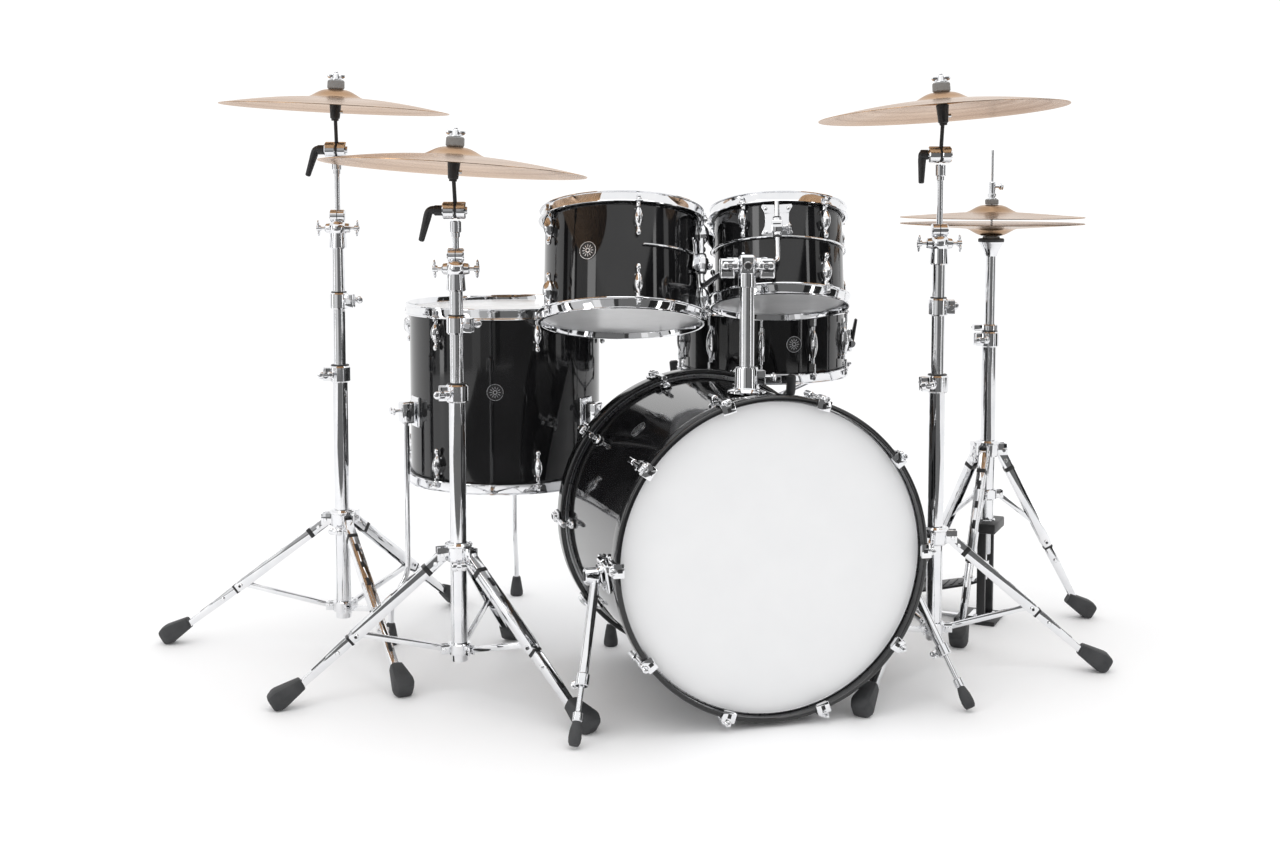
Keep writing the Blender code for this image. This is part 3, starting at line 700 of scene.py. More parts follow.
def make_rack_toms():
    mid, high = tom_frame("mid_tom"), tom_frame("high_tom")
    make_tom("mid_tom", "mid_tom", mid, 0.1524, 0.2032, (-78, -150, 138, 66, -6), (-114, 0.002),
             extra=[("chrome", suspension_band(0.1524, 0.012, -74, 160))])
    make_tom("high_tom", "high_tom", high, 0.127, 0.1778, (-125, -53, 19, 91, 163), (60, 0.0),
             extra=[("chrome", suspension_band(0.127, 0.012, -215, 30))])
    for prefix, frame_mid, (radius, bearing, height), shell in (
            ("mid_tom", mid, (0.1655, -20, -0.005), 0.1524), ("high_tom", high, (0.14, -96, 0.028), 0.127)):
        made = Piece(prefix + "_mount", prefix, frame_mid)
        at = facing(bearing, shell + 0.0044, height)
        half = [(-0.014, 0.028), (-0.01, 0.03), (0.004, 0.024), (0.016, 0.0225), (0.03, 0.0235), (0.043, 0.03),
                (0.047, 0.028)]
        outline = [(z, -y) for z, y in half] + [(z, y) for z, y in reversed(half)]
        made.chrome(plate(outline, 0.0034, at @ spin(-90, "Y")))
        eye = facing(bearing, radius + 0.0005, height)
        made.chrome(moved(block((0.022, 0.021, 0.024), edge=0.003), eye))
        made.plastic(moved(block((0.0224, 0.015, 0.0022), edge=0.0004), eye @ shift(0.0006, 0, 0.004)))
        made.chrome(moved(lathe(ring_profile(0.0092, 0.0056, 0.034), 24), eye @ shift(0, 0, -0.017)))
        made.add("rubber", moved(lathe(ring_profile(0.008, 0.0056, 0.04), 24), eye @ shift(0, 0, -0.02)))
        screw = eye @ spin(90) @ shift(0.011, 0, 0)
        made.chrome(moved(wing_screw(0.024, 0.012), screw))
        for y, z in ((-0.021, -0.008), (0.021, -0.008), (-0.022, 0.039), (0.022, 0.039)):
            made.chrome(moved(ball((0, 0, 0), 0.004, 0.5, (1, 0, 0)), at @ shift(0.0018, y, z)))
        made.done()
    make_tom_holder(mid, high)


def ring_profile(outer, inner, length, edge=0.0008):
    return [(outer - edge, 0), (inner, 0), (inner, length), (outer - edge, length),
            (outer, length - edge), (outer, edge)]


def ring(outer, inner, low, length, edge=0.0008, segments=40):
    return moved(lathe(ring_profile(outer, inner, length, edge), segments), shift(0, 0, low))


def make_tom_holder(mid, high):
    post = middle("tom_holder_base")
    column = (post.x, post.y)
    low, high_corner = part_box("tom_holder_post")
    top = high_corner.z
    base_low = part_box("tom_holder_base")[0].z
    made = Piece("tom_holder_base", "kit", shift(*column, base_low))
    made.chrome(lathe([(0.0145, 0), (0.034, 0), (0.036, 0.0014), (0.0358, 0.0042), (0.032, 0.0062),
                              (0.0245, 0.0085), (0.0222, 0.013), (0.0215, 0.044), (0.02, 0.049),
                              (0.0145, 0.05)], 56))
    made.chrome(block((0.02, 0.016, 0.028), shift(0.024, -0.004, 0.03), edge=0.003))
    made.chrome(moved(wing_screw(0.03, 0.02), shift(0.03, -0.004, 0.03)))
    made.plastic(lathe(ring_profile(0.0178, 0.0142, 0.004), 40))
    for k in range(4):
        made.chrome(ball(polar(0.0292, 45 + 90 * k, 0.0062), 0.0036, 0.6))
    made.done()

    made = Piece("tom_holder_post", "tom_post", shift(*column, 0))
    made.bars(ORIGIN, UP, (("chrome", low.z, top - 0.036, 0.0135, None, 40),
                           ("chrome", top - 0.06, top - 0.034, 0.0165, None, 40)))
    head_at = shift(0, 0.008, top - 0.02)
    made.chrome(block((0.03, 0.034, 0.04), head_at, edge=0.006, steps=3))
    made.chrome(rod((0, -0.014, top - 0.02), (0, -0.022, top - 0.02), 0.008))
    made.plastic(rod((0, -0.0215, top - 0.02), (0, -0.0235, top - 0.02), 0.0055))
    made.chrome(moved(wing_screw(0.028, 0.016), shift(0, 0.024, top - 0.02)
                             @ spin(90)))
    made.done()

    for prefix, frame_mid, mount, sense, drop in (("mid_tom", mid, (0.1655, -20, -0.005), -1, -0.046),
                                                  ("high_tom", high, (0.14, -96, 0.028), 1, -0.068)):
        pivot = Vector(JOINTS[prefix + "_arm_tilt"]["pos_m"])
        radius, bearing, height = mount
        high_end, bend = (frame_mid @ polar(radius, bearing, height + lift) for lift in (0.05, drop))
        made = Piece(prefix + "_arm", prefix + "_arm")
        made.chrome(tube([pivot, bend, high_end], 0.0052, corner=0.014))
        out = Vector((sense, 0, 0))
        made.chrome(rod(pivot - out * 0.0115, pivot + out * 0.012, 0.015, segments=32, edge=0.002))
        made.chrome(rod(pivot + out * 0.0115, pivot + out * 0.02, 0.0105, segments=32, edge=0.0015))
        made.plastic(rod(pivot - out * 0.001, pivot + out * 0.001, 0.0154, segments=32))
        clamp = shift(pivot + out * 0.01 - UP * 0.006)
        made.chrome(block((0.028, 0.038, 0.038), clamp, edge=0.005, steps=3))
        made.plastic(block((0.019, 0.0384, 0.006), clamp @ shift(sense * 0.002, 0, -0.003), edge=0.001))
        made.plastic(block((0.005, 0.0384, 0.014), clamp @ shift(sense * -0.004, 0, 0.006), edge=0.001))
        made.chrome(moved(wing_screw(0.026, 0.018), shift(pivot + out * 0.006 - Vector((0, 0.016, 0)))
                                 @ spin(-90)))
        made.done()


FLOOR_TOM_LEGS = {"left": -152, "rear": 90, "right": -30}  # each leg's bearing


def make_floor_tom():
    centre = middle("floor_tom_shell")
    frame_mid = shift(centre)
    radius, depth = 0.2032, 0.3556
    extra = []
    for bearing in FLOOR_TOM_LEGS.values():
        at = facing(bearing, radius + 0.001, -0.035)
        extra.append(("chrome", moved(block((0.006, 0.044, 0.064), edge=0.0025), at)))
        extra.append(("chrome", moved(block((0.03, 0.03, 0.046), edge=0.005, steps=3),
                                      at @ shift(0.02, 0, 0))))
        extra.append(("chrome", moved(wing_screw(0.032, 0.02), at @ shift(0.032, 0, 0.004))))
    make_tom("floor_tom", "kit", frame_mid, radius, depth, (-187, -127, -67, -7, 53, 113), (-90.9, 0.02),
             extra=extra, lug_in=0.04)
    for where, bearing in FLOOR_TOM_LEGS.items():
        name = f"floor_tom_{where}_leg"
        spot = lambda out, height: polar(radius + 0.022 + out, bearing, height, centre)
        made = Piece(name, name)
        made.chrome(tube([spot(0, 0.4995), spot(0, 0.15), spot(0.038, 0.085), spot(0.04, 0.018)], 0.006,
                         corner=0.022))
        tip = polar(radius + 0.062, bearing, 0, centre)
        made.add("rubber", moved(lathe([(0, 0), (0.012, 0), (0.0148, 0.003), (0.015, 0.01), (0.0118, 0.03),
                                        (0.0092, 0.044), (0.006, 0.047), (0, 0.047)], 28), shift(tip)))
        made.done()


# ---------------------------------------------------------------- bass drum
def bass_frame():
    """At the drum's centre, Z out of its front and Y up."""
    front = (middle("bass_drum_front_head") - middle("bass_drum_batter_head")).normalized()
    side = front.cross(UP).normalized() * -1
    up = front.cross(side)
    return shift(middle("bass_drum_shell")) @ turned(side, up, front)


BASS_RADIUS, BASS_DEPTH, BASS_HOOP_RADIUS = 0.2794, 0.4572, 0.294
HOOP_OUT, HOOP_DEPTH = 0.021, 0.038


def claw():
    """Over the hoop, local X out of the drum and Z out of its end. Z = 0 at the hoop's face."""
    spine = block((0.004, 0.026, 0.04), shift(0.0026, 0, -0.0165), edge=0.0016)
    hook = block((0.02, 0.026, 0.0042), shift(-0.0055, 0, 0.0028), edge=0.0016)
    lip = block((0.0042, 0.02, 0.007), shift(-0.0138, 0, 0.0002), edge=0.0016)
    boss = block((0.0105, 0.019, 0.026), shift(0.006, 0, -0.01), edge=0.0042, steps=3)
    ear = moved(lathe(ring_profile(0.0058, 0.0034, 0.004), 28), shift(0.0056, 0, 0.004))
    key = joined(rod((0.0056, 0, 0.0), (0.0056, 0, 0.009), 0.004),
                 block((0.0056, 0.0056, 0.008), shift(0.0056, 0, 0.012), edge=0.0007))
    screw = rod((0.006, 0, -0.02), (0.006, 0, -0.076), 0.0028, segments=14)
    return joined(spine, hook, lip, boss, ear, key, screw)


# Painted shade: thin black plates on the claw's hook and boss stand for the shaded slots in the casting.
def claw_slot_shade():
    return joined(block((0.0085, 0.007, 0.0012), shift(-0.0075, 0, 0.0046), edge=0.0003),
                  block((0.0012, 0.009, 0.014), shift(0.0109, 0, -0.01), edge=0.0003))


def claw_pad():
    return block((0.0016, 0.022, 0.034), shift(0.0008, 0, -0.017), edge=0.0004)


def bass_lug():
    """On the shell: a small oval casting with a swivel nut for the key rod, along Z."""
    foot = scaled(ball((0, 0, 0), 0.015, 1.6), 0.45, 0.72, 1.0)
    barrel = rod((0.0165, 0, -0.014), (0.0165, 0, 0.016), 0.0058, segments=24, edge=0.0014)
    return joined(foot, barrel, block((0.014, 0.009, 0.018), shift(0.008, 0, 0), edge=0.003))


def make_bass_drum():
    mid = bass_frame()
    half = BASS_DEPTH / 2
    extra = []
    for end in (1, -1):
        for k in range(10):
            at = facing(90 + 36 * k + 18, BASS_RADIUS + 0.0035, end * (half - 0.062))
            if end < 0:
                at = at @ spin(180, "X")
            extra.append(("chrome", moved(bass_lug(), at)))
    made = Piece("bass_drum_shell", "kit", mid)
    made.add("lacquer", lathe(shell_profile(BASS_RADIUS, half, 0.007, 0.001), 192))
    for finish, shape in extra:
        made.add(finish, shape)
    add_badge(made, 132, BASS_RADIUS, 0.0)
    for side in (-1, 1):
        place = mid.inverted() @ Vector(JOINTS["left_spur_fold" if side < 0 else "right_spur_fold"]["pos_m"])
        bearing = math.degrees(math.atan2(place.y, place.x))
        at = facing(bearing, BASS_RADIUS + 0.003, place.z)
        made.chrome(moved(block((0.008, 0.066, 0.052), edge=0.004, steps=3), at))
        made.chrome(moved(rod((0.002, 0, 0), (0.012, 0, 0), 0.022, segments=36, edge=0.002), at))
        for y in (-0.026, 0.026):
            made.chrome(moved(ball((0.005, y, 0), 0.005, 0.6, (1, 0, 0)), at))
    made.done()

    inner, out, rim = BASS_RADIUS + 0.0053, HOOP_OUT, 0.0072
    back = out - HOOP_DEPTH
    arc = [(1 - math.cos(math.radians(a)), 1 - math.sin(math.radians(a))) for a in (90, 70, 50, 30, 12, 0)]
    ends = (("front_hoop", "front_head", mid @ shift(0, 0, half), "white_film"),
            ("rear_hoop", "batter_head", mid @ shift(0, 0, -half) @ FLIP, "clear_film"))
    for wood, head, edge, film_finish in ends:
        hoop = Piece("bass_drum_" + wood, "kit", edge)
        outer = [(BASS_HOOP_RADIUS - rim * x, out - rim * y * 0.8) for x, y in arc]
        inside = [(BASS_HOOP_RADIUS - rim * x, back + rim * y * 0.8) for x, y in reversed(arc)]
        hoop.add("hoop_lacquer", lathe([(inner, out - 0.0014), (inner + 0.001, out), *outer, *inside,
                                        (inner + 0.001, back), (inner, back + 0.0012)], 192))
        for k in range(10):
            at = facing(90 + 36 * k + 18, BASS_HOOP_RADIUS, out)
            hoop.chrome(moved(claw(), at))
            hoop.add("rubber", moved(claw_pad(), at))
            # black plates as painted shade in the claw's slots
            hoop.plastic(moved(claw_slot_shade(), at))
        hoop.done()
        drum_head("bass_drum_" + head, "kit", BASS_RADIUS, edge, film_finish)

    for body, side in (("left_spur", -1), ("right_spur", 1)):
        make_spur("bass_drum_" + body, body, mid, Vector(JOINTS[body + "_fold"]["pos_m"]), side)


def make_spur(name, body, mid, bracket, side):
    low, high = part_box(name)
    foot = Vector((low.x + 0.0085 if side < 0 else high.x - 0.0085, low.y + 0.0085, low.z + 0.0085))
    run = (foot - bracket).normalized()
    knee = bracket.lerp(foot, 0.64)
    outward = mid.to_3x3() @ Vector((side, 0, 0))
    made = Piece(name, body)
    made.chrome(rod(bracket - run * 0.012, knee, 0.0088, segments=28))
    made.chrome(rod(bracket.lerp(foot, 0.5), foot - run * 0.004, 0.0048, segments=20))
    made.chrome(rod(knee - run * 0.014, knee + run * 0.008, 0.0122, segments=28, edge=0.0016))
    made.chrome(rod(bracket - outward * 0.004, bracket + outward * 0.022, 0.015, segments=32, edge=0.002))
    made.plastic(rod(bracket + outward * 0.0215, bracket + outward * 0.0235, 0.0085, segments=28))
    across = run.cross(outward).normalized() * -side
    turn = turned(across, outward, across.cross(outward))
    made.chrome(moved(wing_screw(0.028, 0.016), shift(knee - run * 0.002 + across * 0.01) @ turn))
    made.chrome(moved(wing_screw(0.03, 0.02), shift(bracket + across * 0.012) @ turn))
    collar = foot - run * 0.044
    made.chrome(rod(collar - run * 0.012, collar + run * 0.004, 0.0088, segments=24, edge=0.0012))
    pad = moved(lathe([(0, -0.001), (0.0085, -0.001), (0.0108, 0.004), (0.0116, 0.012), (0.0108, 0.024),
                       (0.0082, 0.036), (0.007, 0.04), (0, 0.04)], 24), aimed(foot, foot - run))
    made.add("rubber", ([Vector((p.x, p.y, max(p.z, 0.0004))) for p in pad[0]], pad[1]))
    made.done()


# ---------------------------------------------------------------- snare drum and its stand
def make_snare():
    centre = middle("snare_drum_shell")
    radius, depth = 0.1778, 0.1397
    half = depth / 2
    mid = shift(centre)
    lugs = [-131.7 + 36 * k for k in range(10)]
    extra = []
    for bearing in lugs:
        at = facing(bearing, radius + 0.0058, 0)
        body, slot_shade = lug(0.072, 0.0165, 0.0135, nub=False)
        # the lug's black almond is painted shade for its hollow
        extra += [("chrome", moved(body, at)), ("plastic", moved(slot_shade, at))]
        extra.append(("chrome", moved(rod((0, 0, -0.04), (0, 0, -0.03), 0.0044), at)))
        strip = block((0.003, 0.012, 0.07), edge=0.0012)
        extra.append(("chrome", moved(strip, facing(bearing, radius + 0.0008, 0))))
    extra += list(zip(("plastic", "alloy"), badge(-73.3, radius, 0.002)))
    at = facing(0, radius + 0.001, 0)
    extra.append(("chrome", moved(block((0.008, 0.03, 0.072), edge=0.003), at @ shift(0.003, 0, 0))))
    extra.append(("chrome", moved(block((0.014, 0.024, 0.03), edge=0.003), at @ shift(0.011, 0, -0.016))))
    extra.append(("chrome", moved(rod((0.011, 0, 0.004), (0.011, 0, 0.018), 0.007), at)))
    extra.append(("chrome", moved(block((0.014, 0.022, 0.008), edge=0.002), at @ shift(0.01, 0, -0.058))))
    opposite = facing(180, radius + 0.001, 0)
    extra.append(("chrome", moved(block((0.012, 0.03, 0.03), edge=0.003), opposite @ shift(0.005, 0, -0.034))))
    make_shell("snare_drum_shell", "snare_drum", radius, depth, mid, (), (), extra=extra)
    low = mid @ shift(0, 0, -half) @ FLIP
    add_rims("snare_drum", "snare_drum", radius, mid, half, lugs, half - 0.04, "white_film")

    made = Piece("snare_wires", "snare_drum", low, node=False)
    for k in range(20):
        y = (k - 9.5) * 0.0024
        made.add("wires", rod((-0.128, y, 0.003), (0.128, y, 0.003), 0.0008, segments=6, edge=0.0001))
    for x in (-0.134, 0.134):
        made.add("wires", block((0.016, 0.05, 0.0016), shift(x, 0, 0.0026), edge=0.0004))
        made.plastic(block((0.04, 0.018, 0.0005), shift(x * 1.14, 0, 0.0026), edge=0))
    made.done()

    pivot = Vector(JOINTS["snare_throw_off_lever"]["pos_m"])
    made = Piece("snare_drum_throw_off_lever", "snare_throw_off")
    made.chrome(rod(pivot - Vector((0, 0.012, 0)), pivot + Vector((0, 0.012, 0)), 0.008, segments=28))
    turn = shift(pivot + Vector((0.0055, 0, 0.03))) @ spin(10, "Y")
    made.plastic(block((0.008, 0.018, 0.052), turn, edge=0.0034, steps=3, taper=0.7))
    made.done()

    column = (centre.x, centre.y)
    made = Piece("snare_stand_tripod", "kit", shift(*column, 0))
    add_tube(made, 0.05, 0.42, 0.0143, 0.0118)
    add_hub(made, 0.196, 0.022, 60)
    add_collar(made, 0.072, 0.02, 60)
    add_clamp(made, 0.402, 0.0205, 200)
    add_legs(made, 0.196, 0.072, 0.22, 60, 0.018, 0.55)
    made.done()

    made = Piece("snare_stand_basket", "snare_drum", shift(*column, 0))
    made.bars(ORIGIN, UP, (("chrome", 0.3, 0.482, 0.011, None, 28), ("chrome", 0.466, 0.5, 0.0235, None, 36, 0.003),
                           ("chrome", 0.44, 0.466, 0.015, None, 32, 0.002),
                           ("plastic", 0.478, 0.488, 0.024, None, 36)))
    bottom = centre.z - half - HOOP_ABOVE
    for bearing in (-78, 42, 162):
        route = [polar(0.018, bearing, 0.486), polar(0.1, bearing, 0.503),
                 polar(radius - 0.006, bearing, bottom - 0.026), polar(radius + 0.026, bearing, bottom - 0.018),
                 polar(radius + 0.03, bearing, bottom + 0.004)]
        side = polar(0.0068, bearing + 90)
        for way in (-1, 1):
            made.chrome(tube([place + side * way for place in route], 0.003, corner=0.012, segments=10))
        grip = [polar(radius + 0.004, bearing, bottom - 0.022), polar(radius + 0.026, bearing, bottom - 0.016),
                polar(radius + 0.03, bearing, bottom + 0.02)]
        made.add("rubber", tube(grip, 0.01, corner=0.012, segments=20, edge=0.003))
    made.chrome(moved(wing_screw(0.028, 0.018), shift(0, -0.013, 0.453)
                             @ spin(-90)))
    made.done()


# ---------------------------------------------------------------- stands
def add_tube(made, low, high, radius, bore):
    made.chrome(lathe([(bore, high), (radius - 0.0008, high), (radius, high - 0.0008), (radius, low + 0.001),
                              (radius - 0.001, low), (bore, low)], 40))


def add_hub(made, height, radius, first):
    """The casting where the legs' upper ends pivot."""
    made.chrome(ring(radius, 0.014, height - 0.018, 0.036, 0.003))
    made.chrome(ring(radius + 0.003, 0.015, height + 0.01, 0.006, 0.0015))
    for k in range(3):
        at = facing(first + 120 * k, radius + 0.006, height - 0.002)
        for y in (-0.0085, 0.0085):
            made.chrome(moved(block((0.026, 0.0034, 0.026), edge=0.0012), at @ shift(0, y, 0)))
        made.chrome(moved(rod((0.004, -0.0125, -0.002), (0.004, 0.0125, -0.002), 0.0042), at))
        made.plastic(moved(block((0.012, 0.012, 0.016), edge=0.002), at @ shift(-0.001, 0, 0)))
    screw = spin(first + 200) @ shift(radius - 0.002, 0, height - 0.022)
    made.chrome(moved(wing_screw(0.026, 0.016), screw))


def add_collar(made, height, radius, first):
    """The ring that the legs' struts pivot on."""
    made.chrome(ring(radius, 0.014, height - 0.011, 0.022, 0.002, 36))
    for k in range(3):
        at = facing(first + 120 * k, radius + 0.004, height)
        for y in (-0.0058, 0.0058):
            made.chrome(moved(block((0.02, 0.0026, 0.018), edge=0.001), at @ shift(0, y, 0)))
        made.chrome(moved(rod((0.004, -0.009, 0), (0.004, 0.009, 0), 0.0032), at))


def add_clamp(made, height, radius, bearing):
    """The split clamp at a tube's mouth, with its ears and wing screw, in front a plain bolt."""
    made.chrome(ring(radius, 0.0136, height - 0.017, 0.034, 0.003))
    made.plastic(ring(radius - 0.003, 0.0134, height + 0.0165, 0.003))
    turn = spin(bearing)
    for y in (-0.0075, 0.0075):
        made.chrome(block((0.018, 0.0075, 0.028), turn @ shift(radius + 0.004, y, height), edge=0.002))
    cross = turn @ shift(radius + 0.006, 0.01, height) @ spin(90)
    made.chrome(moved(wing_screw(0.03, 0.018), cross))
    made.chrome(moved(rod((radius + 0.006, -0.01, height), (radius + 0.006, -0.017, height), 0.0058), turn))


def leg_channel(top, ankle, width):
    """A pressed channel: two tall side plates, a slotted web on top whose slots are drawn as dark blocks of painted
    shade, and the bolted joint part way down.
    """
    run = (ankle - top).normalized()
    side = run.cross(UP).normalized()
    lift = side.cross(run)
    long = (ankle - top).length
    knee = long * 0.58
    turn = turned(run, lift, side)
    upper = [(0, -0.007), (0.01, -0.01), (knee, -0.0105), (knee + 0.012, -0.008), (knee + 0.012, 0.008),
             (knee, 0.0105), (0.01, 0.01), (0, 0.007)]
    lower = [(knee - 0.03, -0.0062), (knee + 0.03, -0.009), (long, -0.0052), (long, 0.0052), (knee + 0.03, 0.009),
             (knee - 0.03, 0.0062)]
    shapes, dark = [], []
    for way in (-1, 1):
        for outline, inset in ((upper, 0.0012), (lower, 0.0036)):
            place = shift(top + side * way * (width / 2 - inset)) @ turn
            shapes.append(plate(outline, 0.0022, place, edge=0.0005))
    at = lambda along, up: shift(top + run * along + lift * up) @ turn
    shapes.append(block((knee - 0.006, 0.0022, width - 0.002), at(knee / 2 + 0.004, 0.0092), edge=0.0008))
    shapes.append(block((long - knee - 0.02, 0.0022, width - 0.006), at((knee + long) / 2 + 0.01, 0.006),
                        edge=0.0008))
    for share in (0.07, 0.58, 0.7, 0.95):
        spot = top + run * long * share
        shapes.append(rod(spot - side * (width / 2 + 0.002), spot + side * (width / 2 + 0.002), 0.0042, edge=0.001))
    # Painted shade: thin dark plastic blocks on the upper and lower webs stand for the shaded slots.
    for share, length in ((0.2, 0.02), (0.31, 0.016), (0.42, 0.02)):
        dark.append(block((length, 0.0024, width * 0.42), at(long * share, 0.0093), edge=0.0006))
    dark.append(block((0.034, 0.0024, width * 0.34), at(long * 0.8, 0.0067), edge=0.0006))
    dark.append(block((0.01, 0.0212, width + 0.001), at(long * 0.12, 0), edge=0.0012))
    dark.append(rod(top + run * (knee + 0.002) - side * (width / 2 + 0.0034),
                    top + run * (knee + 0.002) + side * (width / 2 + 0.0034), 0.003, segments=6, edge=0.0006))
    dark.append(block((0.006, 0.0192, width - 0.001), at(knee + 0.014, 0), edge=0.001))
    return shapes, dark


def rubber_foot(bearing, circle):
    """A moulded foot: wide sections along the leg, cut flat by the floor."""
    start, end = polar(circle - 0.034, bearing, 0.046), polar(circle + 0.024, bearing, 0.012)
    run = (end - start).normalized()
    side = run.cross(UP).normalized()
    up = side.cross(run)
    sections = ((0.0, 0.01, 0.01), (0.03, 0.0122, 0.0118), (0.36, 0.016, 0.0158), (0.7, 0.0198, 0.0196),
                (0.8, 0.0196, 0.0194), (0.94, 0.0165, 0.016), (0.985, 0.0145, 0.014), (1.0, 0.0125, 0.012))
    count, points, faces = 24, [], []
    for share, wide, tall in sections:
        spot = start.lerp(end, share)
        for k in range(count):
            turn = 2 * math.pi * k / count
            c, s = math.cos(turn), math.sin(turn)
            square = (abs(c) ** 5 + abs(s) ** 5) ** (-1 / 5)
            point = spot + side * (c * square * wide) + up * (s * square * tall)
            point.z = max(point.z, 0.0004)
            points.append(point)
    for ring in range(len(sections) - 1):
        for k in range(count):
            a, b = ring * count + k, ring * count + (k + 1) % count
            faces.append([a, b, b + count, a + count])
    faces += [list(range(count))[::-1], list(range(len(points) - count, len(points)))]
    return points, faces


def add_legs(made, hub, collar, circle, first, width, strut_at):
    for k in range(3):
        bearing = first + 120 * k
        top, ankle = polar(0.026, bearing, hub - 0.002), polar(circle - 0.01, bearing, 0.024)
        shapes, dark = leg_channel(top, ankle, width)
        made.chrome(*shapes)
        # black plastic parts, and the painted shade of the webs' slots
        made.plastic(*dark)
        start = polar(0.024, bearing, collar)
        knee = polar(0.016, bearing, hub).lerp(polar(circle - 0.012, bearing, 0.026), strut_at)
        run = (knee - start).normalized()
        side = run.cross(UP).normalized()
        turn = turned(side, run, side.cross(run))
        made.chrome(block((0.0075, (knee - start).length + 0.01, 0.0115),
                          shift((start + knee) / 2) @ turn, edge=0.0014))
        made.add("rubber", rubber_foot(bearing, circle))


def lever_handle(reach, lean, drop):
    """A moulded ratchet lever from a hub at the origin: out to -X, then down."""
    hub = joined(rod((0.006, 0, 0), (-0.01, 0, 0), 0.0098, segments=28, edge=0.0016),
                 rod((-0.01, 0, 0), (-0.0116, 0, 0), 0.006))
    arm = tube([(0, 0, 0.001), (-reach, 0, 0.001), (-reach - lean * 0.3, 0, -drop * 0.3)], 0.0078,
               corner=0.01, segments=18, edge=0.002)
    grip = rod((-reach - lean * 0.12, 0, -drop * 0.12), (-reach - lean, 0, -drop), 0.008, 0.0056, edge=0.002)
    return joined(hub, arm, grip)


def bell_outline(bell, height):
    """From the bore out: flat under the felt, then down a dome that flares into the bow."""
    flat, steps = 0.011, 16
    down = [(flat + (bell - flat) * k / steps, 0.5 - 0.5 * math.cos(math.pi * (k / steps) ** 1.25))
            for k in range(steps + 1)]
    return [(0.0063, 0.0)] + [(radius, -height * share) for radius, share in down]


def cymbal_outline(radius):
    bell, bow, thick = radius * 0.27, radius * 0.092, 0.0016
    top = bell_outline(bell, 0.018)
    top += [(bell + (radius - bell) * t / 18, -0.018 - bow * (t / 18) ** 1.5) for t in range(1, 19)]
    under = [(r, z - thick + (0.0005 if r > radius - 0.004 else 0)) for r, z in reversed(top)]
    return top + under


def hat_outline(radius):
    bell, thick = radius * 0.3, 0.0015
    top = bell_outline(bell, 0.0165)
    top += [(bell + (radius - bell) * t / 16, -0.0165 - 0.0099 * (t / 16) ** 1.05) for t in range(1, 17)]
    return top + [(r, z - thick) for r, z in reversed(top)]


STANDS = {  # foot circle, first leg's bearing, memory clamps' heights, lever reach, lean and drop
    "ride": (0.33, 78, (0.704,), (0.02, 0.016, 0.058)),
    "floor_side_crash": (0.362, 58, (0.727,), (0.014, 0.018, 0.054)),
    "hat_side_crash": (0.323, -3, (0.727,), (0.006, 0.001, 0.056)),
}


